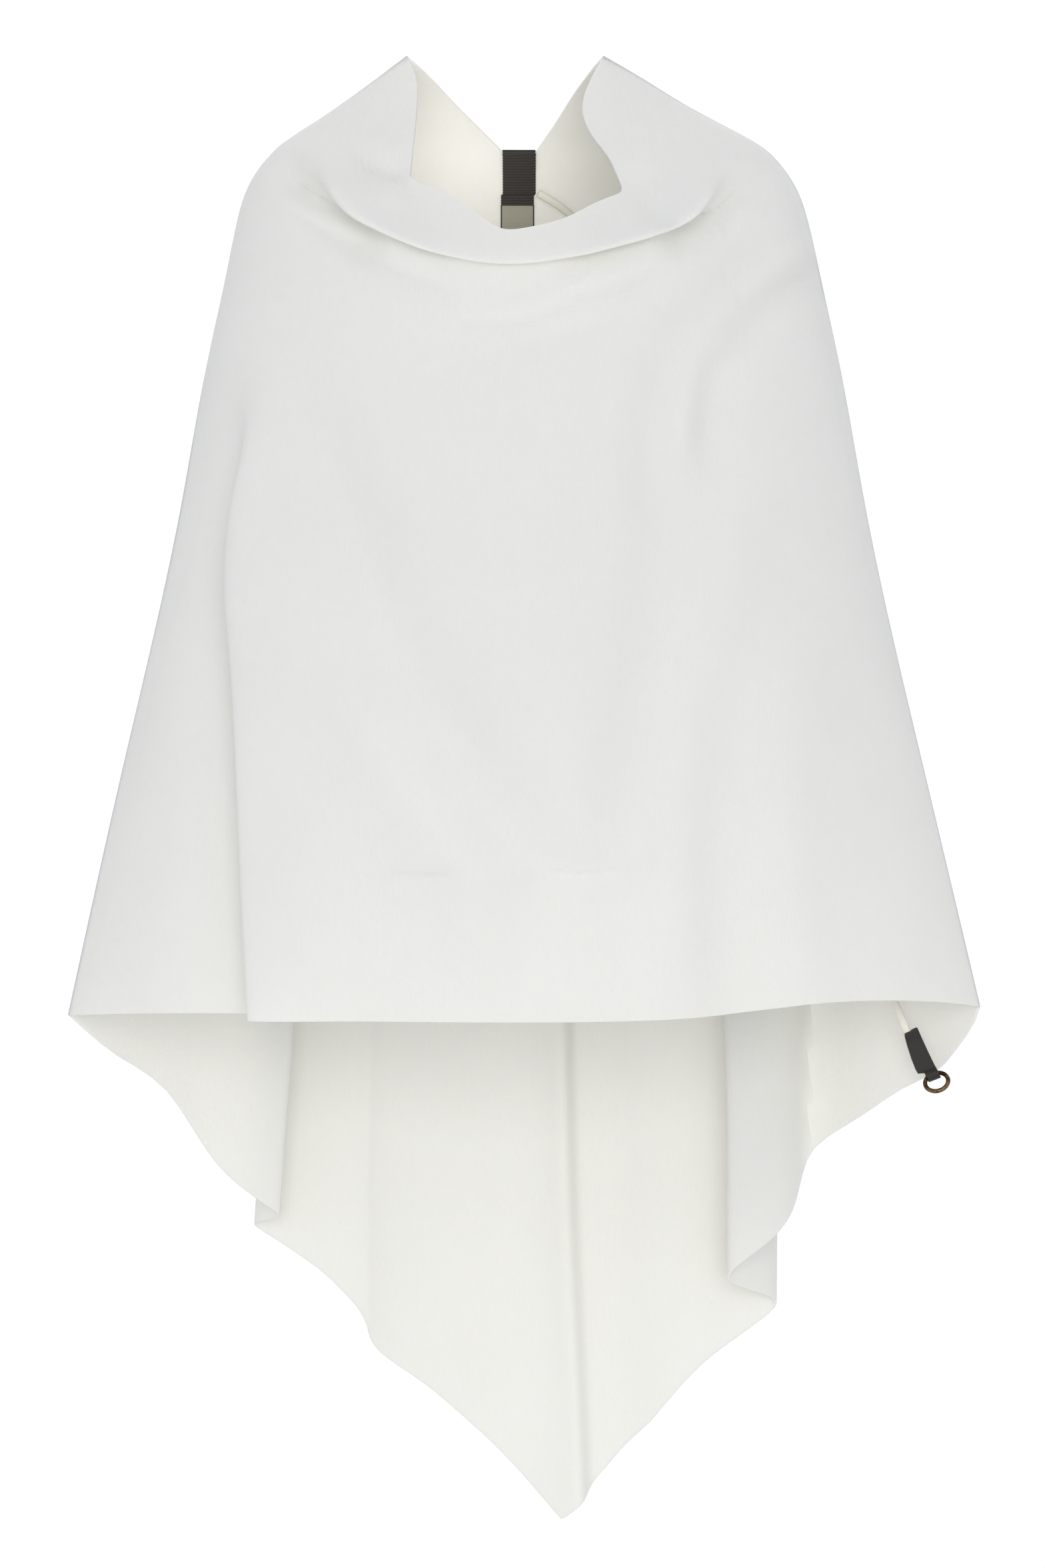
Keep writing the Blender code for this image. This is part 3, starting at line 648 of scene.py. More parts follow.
    def flat_place(self, s, z):
        """Millimetres across from the panel's middle line, and down, on the flat cloth."""
        levels = np.linspace(SECTIONS[-1][0], SECTIONS[0][0], FLAT_LEVELS)
        turns = np.linspace(-1, 1, 2 * FLAT_HALF + 1)
        level, turn = np.meshgrid(levels, turns, indexing="ij")
        point = self.base(turn, level)
        run = np.cumsum(np.linalg.norm(np.diff(point, axis=1), axis=2), axis=1)
        run = np.concatenate([np.zeros((len(levels), 1)), run], axis=1)
        run -= run[:, FLAT_HALF:FLAT_HALF + 1]
        row = np.clip((z - levels[0]) / (levels[1] - levels[0]), 0, FLAT_LEVELS - 1 - INSIDE)
        column = np.clip((s + 1) * FLAT_HALF, 0, 2 * FLAT_HALF - INSIDE)
        i, j = row.astype(int), column.astype(int)
        a, b = row - i, column - j
        across = (
            (run[i, j] * (1 - b) + run[i, j + 1] * b) * (1 - a)
            + (run[i + 1, j] * (1 - b) + run[i + 1, j + 1] * b) * a
        )
        return np.stack([across, z], axis=-1)


def linear(hexa):
    """An sRGB hex colour as linear red, green, blue and alpha."""
    parts = [int(hexa[i:i + 2], 16) / 255 for i in (1, 3, 5)]
    return (*(p / 12.92 if p <= 0.04045 else ((p + 0.055) / 1.055) ** 2.4 for p in parts), 1)


def set_inputs(tree, node, values):
    """Sets or links each named input of a node."""
    for name, value in values.items():
        socket = node.inputs[name]
        if isinstance(value, bpy.types.NodeSocket):
            tree.links.new(value, socket)
        else:
            socket.default_value = value


def add_node(tree, kind, inputs=None, stops=(), **settings):
    """A node with its settings, each named input set or linked, and the place and colour of
    the stops of its ramp."""
    made = tree.nodes.new(kind)
    for name, value in settings.items():
        setattr(made, name, value)
    set_inputs(tree, made, inputs or {})
    for number, (place, colour) in enumerate(stops):
        element = made.color_ramp.elements[number]
        element.position, element.color = place, colour
    return made


def new_material(name):
    """An empty node material and its Principled shader."""
    made = bpy.data.materials.new(name)
    made.use_nodes = True
    tree = made.node_tree
    return made, tree, tree.nodes["Principled BSDF"]


def finish_shader(tree, shader, pattern, stops, values, relief=None, deep=0):
    """Colours a shader by one pattern, lets another stand up from it, and sets the rest."""
    shade = add_node(tree, "ShaderNodeValToRGB", {"Fac": pattern}, stops=stops)
    values = {"Base Color": shade.outputs["Color"], **values}
    if relief is not None:
        bump = add_node(
            tree, "ShaderNodeBump", {"Height": relief, "Distance": deep, "Strength": 0.5}
        )
        values["Normal"] = bump.outputs["Normal"]
    set_inputs(tree, shader, values)


def brushed_fleece(settings):
    """Brushed polyester knit: a soft nap over fine columns of stitches, with no gloss but
    the pale sheen of its fibre ends at a glancing view."""
    material, tree, shader = new_material("brushed_fleece")
    place = add_node(tree, "ShaderNodeTexCoord").outputs["Object"]
    cut = add_node(tree, "ShaderNodeUVMap", uv_map="cut").outputs["UV"]
    drift = add_node(tree, "ShaderNodeTexNoise", {"Vector": place, "Scale": 14, "Detail": 3})
    tufts = add_node(
        tree, "ShaderNodeTexNoise",
        {"Vector": place, "Scale": 1 / (settings.nap * 2.2), "Detail": 4, "Roughness": 0.65},
    )
    wales = add_node(
        tree, "ShaderNodeTexWave",
        {"Vector": cut, "Scale": BANDS / settings.wale, "Distortion": 1.2,
         "Detail": 2, "Detail Scale": 3},
        wave_type="BANDS", bands_direction="X",
    )
    paler = (*(min(1, c * 1.03) for c in settings.colour), 1)
    nap = add_node(
        tree, "ShaderNodeBump",
        {"Height": tufts.outputs["Fac"], "Distance": 0.35 * MM, "Strength": 0.5},
    )
    knit = add_node(
        tree, "ShaderNodeBump",
        {"Height": wales.outputs["Fac"], "Distance": 0.12 * MM, "Strength": 0.35,
         "Normal": nap.outputs["Normal"]},
    )
    finish_shader(
        tree, shader, drift.outputs["Fac"], ((0.25, (*settings.colour, 1)), (0.75, paler)),
        {"Normal": knit.outputs["Normal"], "Roughness": 0.95, "Specular IOR Level": 0.15,
         "Sheen Weight": 0.15, "Sheen Roughness": 0.5, "Subsurface Weight": 0.5,
         "Subsurface Scale": 16 * MM, "Subsurface Radius": (1.0, 0.93, 0.7)},
    )
    return material


def black_grosgrain():
    """Woven grosgrain ribbon in a warm black. Its ribs are in the mesh, and painted shade darkens
    the colour between them; fine warp threads run along it and break the light on them."""
    material, tree, shader = new_material("black_grosgrain")
    thread = add_node(tree, "ShaderNodeUVMap", uv_map="cut").outputs["UV"]
    # this wave of bands follows the ribs and only colours them: it paints shade into the grooves
    # between them
    ribs = add_node(
        tree, "ShaderNodeTexWave", {"Vector": thread, "Scale": BANDS / MM},
        wave_type="BANDS", bands_direction="Y",
    )
    warp = add_node(
        tree, "ShaderNodeTexWave",
        {"Vector": thread, "Scale": BANDS / (0.5 * MM), "Distortion": 0.6, "Detail": 1},
        wave_type="BANDS", bands_direction="X",
    )
    fine = add_node(
        tree, "ShaderNodeMath", {0: warp.outputs["Fac"], 1: 0.3}, operation="MULTIPLY"
    )
    # the dark end of the ramp below is painted shade between the ribs, with a little real tone from
    # the warp threads
    rib_shade_and_warp = add_node(
        tree, "ShaderNodeMath", {0: ribs.outputs["Fac"], 1: 0.7, 2: fine.outputs[0]},
        operation="MULTIPLY_ADD",
    )
    finish_shader(
        tree, shader, rib_shade_and_warp.outputs[0], ((0.1, linear("#0F0B0A")), (0.9, linear("#2B2523"))),
        {"Roughness": 0.62, "Sheen Weight": 0.2}, relief=warp.outputs["Fac"], deep=0.08 * MM,
    )
    return material


def woven_label():
    """Plain damask-woven ribbon in grey beige, with a dark woven line down each edge."""
    material, tree, shader = new_material("woven_label")
    cut = add_node(tree, "ShaderNodeUVMap", uv_map="cut").outputs["UV"]
    across = add_node(tree, "ShaderNodeSeparateXYZ", {"Vector": cut}).outputs["X"]
    off = add_node(tree, "ShaderNodeMath", {0: across}, operation="ABSOLUTE").outputs[0]
    half = (LABEL_RIGHT - LABEL_LEFT) / 2 * MM
    edge = add_node(
        tree, "ShaderNodeMath", {0: off, 1: half - LABEL_BORDER * MM}, operation="GREATER_THAN"
    ).outputs[0]
    weft = add_node(
        tree, "ShaderNodeTexWave",
        {"Vector": cut, "Scale": BANDS / (0.55 * MM), "Distortion": 0.8, "Detail": 2},
        wave_type="BANDS", bands_direction="Y",
    )
    field = add_node(
        tree, "ShaderNodeValToRGB", {"Fac": weft.outputs["Fac"]},
        stops=((0.0, linear("#98958A")), (1.0, linear("#B2AFA2"))),
    )
    # a mix of colours has them at inputs 6 and 7 and the result at output 2
    both = add_node(
        tree, "ShaderNodeMix",
        {"Factor": edge, 6: field.outputs["Color"], 7: linear("#1B1715")}, data_type="RGBA",
    )
    bump = add_node(
        tree, "ShaderNodeBump",
        {"Height": weft.outputs["Fac"], "Distance": 0.1 * MM, "Strength": 0.5},
    )
    set_inputs(tree, shader, {
        "Base Color": both.outputs[2], "Normal": bump.outputs["Normal"], "Roughness": 0.7,
    })
    return material


def knitted_cotton():
    """Undyed knitted cotton cord. The stitches are in the mesh; loose fibres fleck them."""
    material, tree, shader = new_material("knitted_cotton")
    place = add_node(tree, "ShaderNodeTexCoord").outputs["Object"]
    fibre = add_node(
        tree, "ShaderNodeTexNoise",
        {"Vector": place, "Scale": 1 / (0.6 * MM), "Detail": 3, "Roughness": 0.7},
    )
    finish_shader(
        tree, shader, fibre.outputs["Fac"], ((0.3, linear("#F3EFE3")), (0.7, linear("#FFFDF6"))),
        {"Roughness": 0.9, "Sheen Weight": 0.2}, relief=fibre.outputs["Fac"], deep=0.06 * MM,
    )
    return material


def polyester_thread():
    """Spun polyester sewing thread, dyed to the fleece."""
    material, tree, shader = new_material("polyester_thread")
    place = add_node(tree, "ShaderNodeTexCoord").outputs["Object"]
    ply = add_node(tree, "ShaderNodeTexNoise", {"Vector": place, "Scale": 1 / (0.4 * MM)})
    stops = ((0.3, linear("#DAD8D0")), (0.7, linear("#EFEEE9")))
    finish_shader(tree, shader, ply.outputs["Fac"], stops, {"Roughness": 0.6})
    return material


def antique_bronze(settings):
    """Cast bronze, darkened and then rubbed, so that the high places are bright and the
    brown stays in the fine pits."""
    material, tree, shader = new_material("antique_bronze")
    place = add_node(tree, "ShaderNodeTexCoord").outputs["Object"]
    patina = add_node(
        tree, "ShaderNodeTexNoise",
        {"Vector": place, "Scale": 1 / (5 * MM), "Detail": 3, "Roughness": 0.5},
    )
    pits = add_node(tree, "ShaderNodeTexNoise", {"Vector": place, "Scale": 1 / (0.5 * MM)})
    rough = add_node(
        tree, "ShaderNodeValToRGB", {"Fac": patina.outputs["Fac"]},
        stops=((0.3, (0.5, 0.5, 0.5, 1)), (0.7, (0.24, 0.24, 0.24, 1))),
    )
    finish_shader(
        tree, shader, patina.outputs["Fac"],
        ((0.3, linear("#4A3423")), (0.7, (*settings.metal, 1))),
        {"Roughness": rough.outputs["Color"], "Metallic": 1},
        relief=pits.outputs["Fac"], deep=0.05 * MM,
    )
    return material


def show(name, mesh, material, slot, body, *nodes):
    """A finished piece that rides on a body and stands for some of the solids."""
    made = bpy.data.objects.new(name, mesh)
    bpy.context.scene.collection.objects.link(made)
    mesh.materials.clear()
    mesh.materials.append(material)
    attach(made, body)
    if nodes:
        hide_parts(*nodes)
    return made


def mesh_of(name, points, faces, places=None):
    """A smooth mesh from points in millimetres, with their places on the flat cloth."""
    mesh = bpy.data.meshes.new(name)
    mesh.from_pydata((np.asarray(points) * MM).tolist(), [], faces)
    if places is not None:
        corners = np.zeros(len(mesh.loops), int)
        mesh.loops.foreach_get("vertex_index", corners)
        layer = mesh.uv_layers.new(name="cut")
        layer.data.foreach_set("uv", (np.asarray(places) * MM)[corners].astype(np.float32).ravel())
    mesh.shade_smooth()
    mesh.set_sharp_from_angle(angle=SHARP)
    return mesh


def wall(name, near, far, place, bulge=0.0, rim=1):
    """A closed wall between two grids of points, with rounded rims at its first and last
    rows. Seen with rows going down, near is in front and far behind."""
    rows, columns = near.shape[0] - 1, near.shape[1] - 1
    points, places, loops = [], [], {}

    def add(line, spots):
        """One row of points. It returns their numbers."""
        start = sum(len(p) for p in points)
        points.append(line)
        places.append(spots)
        return list(range(start, start + len(line)))

    front = [add(line, spots) for line, spots in zip(near, place)]
    rear = [add(line, spots) for line, spots in zip(far, place)]
    for end, inward in ((0, 1), (rows, rows - 1)):
        middle, half = (near[end] + far[end]) / 2, (near[end] - far[end]) / 2
        away = middle - (near[inward] + far[inward]) / 2
        away /= np.maximum(np.linalg.norm(away, axis=1, keepdims=True), 1e-9)
        loops[end] = [front[end]]
        for k in range(1, rim):
            turn = math.pi * k / rim
            line = middle + half * math.cos(turn) + away * bulge * math.sin(turn)
            loops[end].append(add(line, place[end]))
        loops[end].append(rear[end])
    faces = []
    for r in range(rows):
        a, b, c, d = front[r], front[r + 1], rear[r], rear[r + 1]
        for k in range(columns):
            faces.append((a[k], b[k], b[k + 1], a[k + 1]))
            faces.append((c[k], c[k + 1], d[k + 1], d[k]))
        faces.append((b[0], a[0], c[0], d[0]))
        faces.append((a[-1], b[-1], d[-1], c[-1]))
    for first, second in zip(loops[0], loops[0][1:]):
        faces += [(first[k], first[k + 1], second[k + 1], second[k]) for k in range(columns)]
    for first, second in zip(loops[rows], loops[rows][1:]):
        faces += [(first[k + 1], first[k], second[k], second[k + 1]) for k in range(columns)]
    if rim > 1:
        faces.append(tuple(loop[0] for loop in loops[0]))
        faces.append(tuple(loop[-1] for loop in reversed(loops[0])))
        faces.append(tuple(loop[0] for loop in reversed(loops[rows])))
        faces.append(tuple(loop[-1] for loop in loops[rows]))
    return mesh_of(name, np.concatenate(points), faces, np.concatenate(places))


def tube_faces(start, rings, sides):
    """The faces round a tube whose rings of points are numbered on from start."""
    return [
        (ring + k, ring + (k + 1) % sides, ring + sides + (k + 1) % sides, ring + sides + k)
        for ring in range(start, start + (rings - 1) * sides, sides) for k in range(sides)
    ]


def cloth_panel(name, panel, node, material):
    """The whole panel, as one thin closed sheet with soft cut edges."""
    settings = bpy.context.scene.poncho.fleece
    outer, inner, place = panel.grid(settings.columns, settings.rows)
    near, far = (outer, inner) if panel.side < 0 else (inner, outer)
    mesh = wall(name, near, far, place, CUT_EDGE, RIM)
    return show(name, mesh, material, "fleece", "garment", node)


def fleece():
    """The fleece of both panels, made once."""
    found = bpy.data.materials.get("brushed_fleece")
    return found or brushed_fleece(bpy.context.scene.poncho.fleece)


def grosgrain():
    """The ribbon of both tabs, made once."""
    return bpy.data.materials.get("black_grosgrain") or black_grosgrain()


class Seat:
    """Places points on the faces of the back panel, near the nape."""

    def __init__(self, panel, cloth):
        self.panel = panel
        mesh = cloth.data
        self.tree = BVHTree.FromPolygons(
            [v.co / MM for v in mesh.vertices], [tuple(f.vertices) for f in mesh.polygons]
        )

    def points(self, x, up, out):
        """up is from the nape's edge, and out from the nearer face, or over the edge from
        the middle of the cloth."""
        x, up, out = np.broadcast_arrays(x, up, out)
        z = NAPE + np.minimum(up, -EDGE)
        s = across_at(x, z)
        _, upward, outward = self.panel.frame(self.panel.surface, s, z)
        middle = self.panel.surface(s, z)
        seats = middle.copy()
        for spot in np.ndindex(z.shape):
            way = Vector(outward[spot])
            sides = (-1, 1) if up[spot] > -EDGE else (1 if out[spot] >= 0 else -1,)
            hits = [
                self.tree.ray_cast(Vector(middle[spot]) + way * REACH * side, way * -side)[0]
                for side in sides
            ]
            seats[spot] = sum(hits, Vector()) / len(hits)
        over = np.maximum(up + EDGE, 0)
        return seats + upward * over[..., None] + outward * out[..., None]


def nape_seat():
    return Seat(back_panel_form(), bpy.data.objects["back_cloth"])


def back_panel_form():
    return ClothPanel(1, BACK_NECK, BACK_HEM, BACK_FOLDS)


def neck_ribbon_mesh(seat):
    """Grosgrain folded over the nape's edge, its ribs and scalloped edges in the mesh."""
    half = CLOTH / 2 + SEAT_GAP
    fine = RIB / RIB_STEPS
    inside = np.arange(-RIBBON_INSIDE, -2 * EDGE, fine)
    outside = np.arange(-2 * EDGE, -RIBBON_OUTSIDE, -fine)
    turn = np.linspace(0, math.pi, RIBBON_TURN)
    doubled = 1 - ease(RIBBON_HEM - RIBBON_THICK, RIBBON_HEM, inside + RIBBON_INSIDE)
    layers = []
    for layer in (0, 1):
        reach = half + RIBBON_THICK * layer
        up = np.concatenate([inside, reach * np.sin(turn), outside])
        out = np.concatenate([
            -SEAT_GAP - RIBBON_THICK * layer * (1 + doubled), -reach * np.cos(turn),
            np.full(len(outside), SEAT_GAP + RIBBON_THICK * layer),
        ])
        layers.append((up, out))
    run = lengths(np.stack(layers[1], axis=1))
    rib = np.cos(2 * math.pi * run / RIB)[:, None]
    middle, wide = (RIBBON_LEFT + RIBBON_RIGHT) / 2, (RIBBON_RIGHT - RIBBON_LEFT) / 2
    across = np.linspace(-1, 1, RIBBON_ACROSS)
    band = np.concatenate([doubled, np.zeros(len(turn) + len(outside))])[:, None]
    # the folded band lies as far to the left as the label does
    shifted = (LABEL_LEFT + LABEL_RIGHT) / 2 - middle
    x = middle + across * (wide + PICOT * rib * np.abs(across) ** PICOT_CURVE) + band * shifted
    grids = []
    for layer, (up, out) in enumerate(layers):
        up, out = up[:, None], out[:, None]
        raised = np.sign(out) * RIB_DEEP * rib / 2 * layer
        grids.append(seat.points(x, up, out + raised)[::-1])
    place = np.stack(np.broadcast_arrays(across * wide, run[:, None] / RIB), axis=-1)[::-1]
    return wall("neck_ribbon", grids[1], grids[0], place)


def label_mesh(seat):
    """The bare woven label below the ribbon, lying on the fleece."""
    wide, middle = (LABEL_RIGHT - LABEL_LEFT) / 2, (LABEL_LEFT + LABEL_RIGHT) / 2
    across = np.linspace(-1, 1, LABEL_ACROSS)
    top = -RIBBON_INSIDE - SEAT_GAP
    down = np.linspace(top, top - LABEL_LONG, LABEL_DOWN)[:, None]
    far, near = (
        seat.points(middle + across * wide, down, -out)
        for out in (SEAT_GAP, SEAT_GAP + LABEL_THICK)
    )
    place = np.stack(np.broadcast_arrays(across * wide, down), axis=-1)
    return wall("woven_label", near, far, place, LABEL_BULGE, TRIM_RIM)


def smooth_route(points, count):
    """Points along one smooth curve, and the length up to each."""
    route = np.array(points, float)
    run = lengths(route)
    at = np.linspace(0, run[-1], count)
    line = np.stack([spline(run, axis)(at) for axis in route.T], axis=1)
    return line, lengths(line)


def cord_mesh(radius):
    """A knitted tube along the cord's route: columns of stitches round it, each stitch a
    small raised leaf, and closed ends."""
    line, length = smooth_route(CORD_ROUTE, CORD_RINGS)
    way = unit(np.gradient(line, axis=0))
    side = unit(np.cross(way, (0, 1, 0)))
    other = np.cross(way, side)
    turn = np.linspace(0, 2 * math.pi, CORD_SIDES, endpoint=False)
    wale = turn * CORD_WALES
    stitch = 2 * math.pi * length / (CORD_STITCH * MM)
    # each column of stitches leans the other way on its two sides, as a row of Vs
    lean = np.abs(((wale / (2 * math.pi)) % 1) - 0.5) * 2 * math.pi
    stitches = np.cos(stitch[:, None] + lean * CORD_LEAN)
    relief = CORD_RIBBED * np.cos(wale) + (1 - CORD_RIBBED) * stitches
    reach = radius + CORD_RELIEF * MM * relief / 2
    points = (
        line[:, None]
        + side[:, None] * (reach * np.cos(turn))[..., None]
        + other[:, None] * (reach * np.sin(turn))[..., None]
    ).reshape(-1, 3)
    faces = tube_faces(0, CORD_RINGS, CORD_SIDES)
    first, last = len(points), len(points) + 1
    base = first - CORD_SIDES
    after = [*range(1, CORD_SIDES), 0]
    faces += [(first, next_one, k) for k, next_one in enumerate(after)]
    faces += [(last, base + k, base + next_one) for k, next_one in enumerate(after)]
    points = np.concatenate([points, line[:1], line[-1:]])
    return mesh_of("knitted_cord", points / MM, faces)


def end_tab_mesh():
    """Ribbon folded in two round the ring's wire, its ribs and scalloped left edge in the
    mesh. It runs down the front, round the loop and up the back."""
    down = (LOOP - TAB_TOP).normalized()
    face = LOOP_AXIS.cross(down).normalized()
    long = (LOOP - TAB_TOP).length
    round_it = (LOOP_OUTER + LOOP_BORE) / 2
    at = np.arange(0, long - TAB_SHORT, TAB_RIB / RIB_STEPS)
    left_to_go = long - at
    parted = math.sqrt(round_it**2 - TAB_PARTS[1] ** 2) - TAB_INSIDE / 2
    share = np.clip((TAB_PARTS[0] - left_to_go) / (TAB_PARTS[0] - TAB_PARTS[1]), 0, 1)
    out = TAB_INSIDE / 2 + TAB_FLARE * (1 - ease(0, TAB_FLARE_LONG, at))
    out += parted * share**TAB_PART_CURVE
    out = np.where(
        left_to_go < TAB_PARTS[1], np.sqrt(np.maximum(round_it**2 - left_to_go**2, 0)), out
    )
    turn = np.linspace(TAB_TURN_START, math.pi - TAB_TURN_START, TAB_TURN)
    path = np.concatenate([
        np.stack([at, -out], axis=1),
        np.stack([long + round_it * np.sin(turn), -round_it * np.cos(turn)], axis=1),
        np.stack([at, out], axis=1)[::-1],
    ])
    way = unit(np.gradient(path, axis=0))
    square = np.stack([way[:, 1], -way[:, 0]], axis=1)
    run = lengths(path)
    rib = np.cos(2 * math.pi * run / TAB_RIB)
    place, left, right = zip(*TAB_EDGES)
    left = np.interp(path[:, 0], place, left) - TAB_PICOTS[0] * rib
    right = np.interp(path[:, 0], place, right) + TAB_PICOTS[1] * rib
    side = left[:, None] + (right - left)[:, None] * np.linspace(0, 1, TAB_ACROSS)
    grids = []
    for way_out, raised in ((1, TAB_RIB_DEEP / 2), (-1, 0)):
        spot = path + square * (way_out * (TAB_LAYER / 2 + raised * rib))[:, None]
        slant = TAB_SLANT * side / TAB_EDGES[0][2] * (1 - ease(0, TAB_SLANT_LONG, spot[:, :1]))
        grids.append(
            np.array(TAB_TOP) + (spot[:, :1] - slant)[..., None] * np.array(down)
            + spot[:, 1, None, None] * np.array(face) + side[..., None] * np.array(LOOP_AXIS)
        )
    places = np.stack(np.broadcast_arrays(side, run[:, None] / TAB_RIB), axis=-1)
    return wall("end_tab", *grids, places, TAB_BULGE, TRIM_RIM)


def sew(name, spots, material):
    """One short thread for each stitch, a bent bar whose two ends dip into the cloth.

    Each of spots gives a stitch's middle, its way across the seam, and the way out."""
    points, faces, sides = [], [], THREAD_SIDES
    for middle, across, out in spots:
        along = np.cross(across, out)
        start = len(points)
        for part, rise in STITCH_BEND:
            centre = middle + across * part * STITCH_WIDE + out * rise * THREAD
            for k in range(sides):
                turn = 2 * math.pi * k / sides
                points.append(centre + (along * math.cos(turn) + out * math.sin(turn)) * THREAD / 2)
        faces += tube_faces(start, len(STITCH_BEND), sides)
        faces.append(tuple(start + k for k in reversed(range(sides))))
        faces.append(tuple(range(len(points) - sides, len(points))))
    mesh = mesh_of(name, points, faces)
    return show(name, mesh, material, "fleece", "garment")


def seam_spots(side):
    """Places of the stitches down one side seam, from the neck's peak to the hem."""
    level = np.linspace(SEAM_TOP, SEAM_END, SEAM_SAMPLES)
    x = SECTION["x_left" if side < 0 else "x_right"](level)
    line = np.stack([x + side * CLOTH / 2, SECTION["y_seam"](level), level], axis=1)
    across = np.array([0.0, 1.0, 0.0])
    out = unit(np.cross(np.gradient(line, axis=0), across))
    out *= np.sign(out[:, :1]) * side
    run = lengths(line)
    places = np.searchsorted(run, np.arange(STITCH, run[-1] - STITCH, STITCH))
    return [(line[i], across, out[i]) for i in places]


def hand_over(piece):
    """Puts a finished piece's place into its mesh and deselects it."""
    bpy.ops.object.select_all(action="DESELECT")
    piece.select_set(True)
    bpy.context.view_layer.objects.active = piece
    bpy.ops.object.transform_apply(location=True, rotation=True, scale=True)
    bpy.ops.object.select_all(action="DESELECT")


class PONCHO_OT_studio(Operator):
    """Adds the pale floor, the soft light and the camera"""

    bl_idname = "poncho.studio"
    bl_label = "Studio"

    def execute(self, context):
        settings = context.scene.poncho.studio
        context.scene.view_settings.view_transform = "Standard"
        bpy.ops.object.select_all(action="DESELECT")
        bpy.ops.object.camera_add(location=CAMERA_PLACE, rotation=(math.pi / 2, 0, 0))
        camera = context.object
        camera.name = "camera"
        camera.data.lens = CAMERA_LENS
        camera.data.sensor_width = CAMERA_SENSOR
        camera.data.clip_end = CAMERA_REACH
        context.scene.camera = camera
        bpy.ops.mesh.primitive_circle_add(
            vertices=FLOOR_SIDES, radius=FLOOR_RADIUS, fill_type="NGON",
            location=(0, 0, settings.floor),
        )
        floor = context.object
        floor.name = "studio_floor"
        floor.data.materials.append(self.paper())
        hand_over(floor)
        floor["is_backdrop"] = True
        for name, power, *rest in LIGHTS:
            self.soft_light(name, getattr(settings, power), *rest)
        world = bpy.data.worlds.new("studio_air")
        world.use_nodes = True
        tree = world.node_tree
        seen = add_node(tree, "ShaderNodeLightPath").outputs["Is Camera Ray"]
        strength = add_node(
            tree, "ShaderNodeMapRange",
            {"Value": seen, "To Min": settings.ambient, "To Max": BACKDROP},
        ).outputs[0]
        air = {"Strength": strength, "Color": linear("#FAFCFF")}
        set_inputs(tree, tree.nodes["Background"], air)
        context.scene.world = world
        return {"FINISHED"}

    @staticmethod
    def paper():
        """Matt white background paper."""
        material, tree, shader = new_material("background_paper")
        place = add_node(tree, "ShaderNodeTexCoord").outputs["Object"]
        pulp = add_node(tree, "ShaderNodeTexNoise", {"Vector": place, "Scale": 3, "Detail": 3})
        stops = ((0.3, linear("#E9E9E9")), (0.7, linear("#EDEDED")))
        finish_shader(tree, shader, pulp.outputs["Fac"], stops, {"Roughness": 1})
        return material

    @staticmethod
    def soft_light(name, power, size, place, goal, spread):
        """A round soft light that faces its goal on the garment."""
        aim = (Vector(goal) - Vector(place)).to_track_quat("-Z", "Y")
        bpy.ops.object.light_add(type="AREA", location=place, rotation=aim.to_euler())
        lamp = bpy.context.object
        lamp.name = name
        lamp.visible_camera = False
        lamp.data.shape = "DISK"
        lamp.data.size = size
        lamp.data.energy = power
        lamp.data.spread = math.radians(spread)
        lamp.data.color = linear("#FFFCF2")[:3]


class PONCHO_OT_cord(Operator):
    """Adds the knitted cord that hangs inside the back"""

    bl_idname = "poncho.cord"
    bl_label = "Cord"

    def execute(self, context):
        radius = context.scene.poncho.trim.cord / 2
        mesh = cord_mesh(radius)
        show("knitted_cord", mesh, knitted_cotton(), "knitted_cord", "garment", "cord")
        return {"FINISHED"}


class PONCHO_OT_front(Operator):
    """Adds the front panel with its cowl"""

    bl_idname = "poncho.front"
    bl_label = "Front"

    def execute(self, context):
        panel = ClothPanel(-1, FRONT_NECK, FRONT_HEM, FRONT_FOLDS + FRONT_CREASES)
        made = cloth_panel("front_cloth", panel, "front_panel", fleece())
        return {"FINISHED"}


class PONCHO_OT_back(Operator):
    """Adds the back panel with its folds"""

    bl_idname = "poncho.back"
    bl_label = "Back"

    def execute(self, context):
        cloth_panel("back_cloth", back_panel_form(), "back_panel", fleece())
        return {"FINISHED"}


class PONCHO_OT_neck_trim(Operator):
    """Adds the ribbon over the nape and the label below it"""

    bl_idname = "poncho.neck_trim"
    bl_label = "Neck ribbon and label"

    def execute(self, context):
        seat = nape_seat()
        ribbon = show("neck_ribbon", neck_ribbon_mesh(seat), grosgrain(), "grosgrain", "garment",
                      "neck_tab")
        label = show("woven_label", label_mesh(seat), woven_label(), "label_ribbon", "garment",
                     "neck_label")
        return {"FINISHED"}


class PONCHO_OT_seams(Operator):
    """Adds the stitches down the two side seams"""

    bl_idname = "poncho.seams"
    bl_label = "Side seams"

    def execute(self, context):
        thread = polyester_thread()
        sew("right_seam_stitches", seam_spots(-1), thread)
        sew("left_seam_stitches", seam_spots(1), thread)
        return {"FINISHED"}


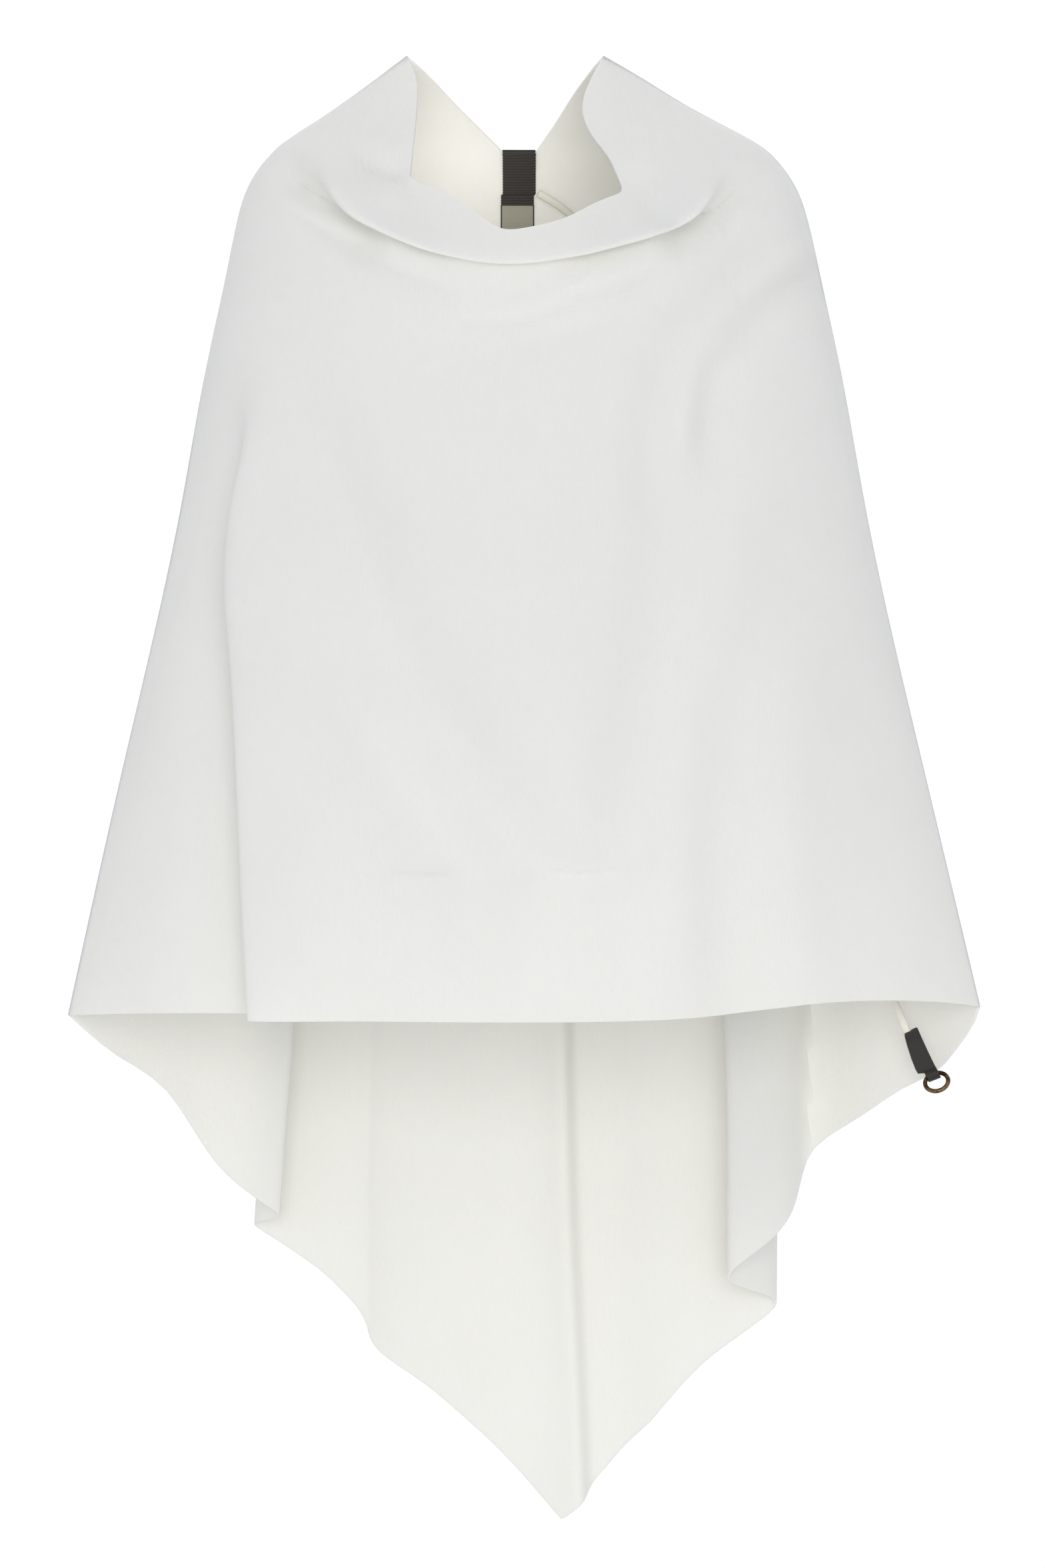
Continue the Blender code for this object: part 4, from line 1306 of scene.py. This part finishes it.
class PONCHO_OT_end_tab(Operator):
    """Adds the folded ribbon on the cord's end, with its ring"""

    bl_idname = "poncho.end_tab"
    bl_label = "End tab and ring"

    def execute(self, context):
        tab = show("end_tab", end_tab_mesh(), grosgrain(), "grosgrain", "garment", "cord_tab")
        drop = (LOOP - TAB_TOP).normalized()
        hang = Matrix.Rotation(math.radians(RING_SWING), 3, LOOP_AXIS) @ drop
        wire = RING_WIRE / 2
        middle = RING_OUTER / 2 - wire
        turn = Matrix((LOOP_AXIS, hang, LOOP_AXIS.cross(hang))).transposed()
        centre = LOOP + hang * (middle - RING_SEAT)
        bpy.ops.object.select_all(action="DESELECT")
        bpy.ops.mesh.primitive_torus_add(
            major_radius=middle * MM, minor_radius=wire * MM, major_segments=RING_ROUND,
            minor_segments=WIRE_ROUND, location=centre * MM, rotation=turn.to_euler(),
        )
        ring = context.object
        ring.name = "bronze_ring"
        bpy.ops.object.shade_smooth()
        hand_over(ring)
        ring.data.materials.append(antique_bronze(context.scene.poncho.trim))
        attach(ring, "ring")
        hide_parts("ring")
        line, length = smooth_route(CORD_ROUTE, CORD_STEPS)
        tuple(CORD_ROUTE[0])
        return {"FINISHED"}


class PONCHO_PT_panel(Panel):
    """Lists the pieces in the sidebar"""

    bl_label = "Poncho"
    bl_idname = "PONCHO_PT_panel"
    bl_space_type = "VIEW_3D"
    bl_region_type = "UI"
    bl_category = "Poncho"

    def draw(self, context):
        settings = context.scene.poncho
        for group, names in (
            (settings.studio, ("floor", "ambient", "key", "crown", "fill")),
            (settings.fleece, ("colour", "wale", "nap", "columns", "rows")),
            (settings.trim, ("cord", "metal")),
        ):
            box = self.layout.box()
            for name in names:
                box.prop(group, name)
        for operator in OPERATORS:
            self.layout.operator(operator.bl_idname)


SETTINGS = (FleeceSettings, TrimSettings, StudioSettings, PonchoSettings)
OPERATORS = (
    PONCHO_OT_studio, PONCHO_OT_cord, PONCHO_OT_front, PONCHO_OT_back, PONCHO_OT_neck_trim,
    PONCHO_OT_seams, PONCHO_OT_end_tab,
)


def register():
    for kind in (*SETTINGS, *OPERATORS, PONCHO_PT_panel):
        bpy.utils.register_class(kind)
    bpy.types.Scene.poncho = PointerProperty(type=PonchoSettings)


def unregister():
    del bpy.types.Scene.poncho
    for kind in reversed((*SETTINGS, *OPERATORS, PONCHO_PT_panel)):
        bpy.utils.unregister_class(kind)


def main():
    register()
    bpy.ops.poncho.studio()
    bpy.ops.poncho.cord()
    bpy.ops.poncho.front()
    bpy.ops.poncho.back()
    bpy.ops.poncho.neck_trim()
    bpy.ops.poncho.seams()
    bpy.ops.poncho.end_tab()
    boxes = {"solids": SOLID_BOX, "looks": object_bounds()}
    {name: [list(corner) for corner in box] for name, box in boxes.items()}


if __name__ == "__main__":
    main()
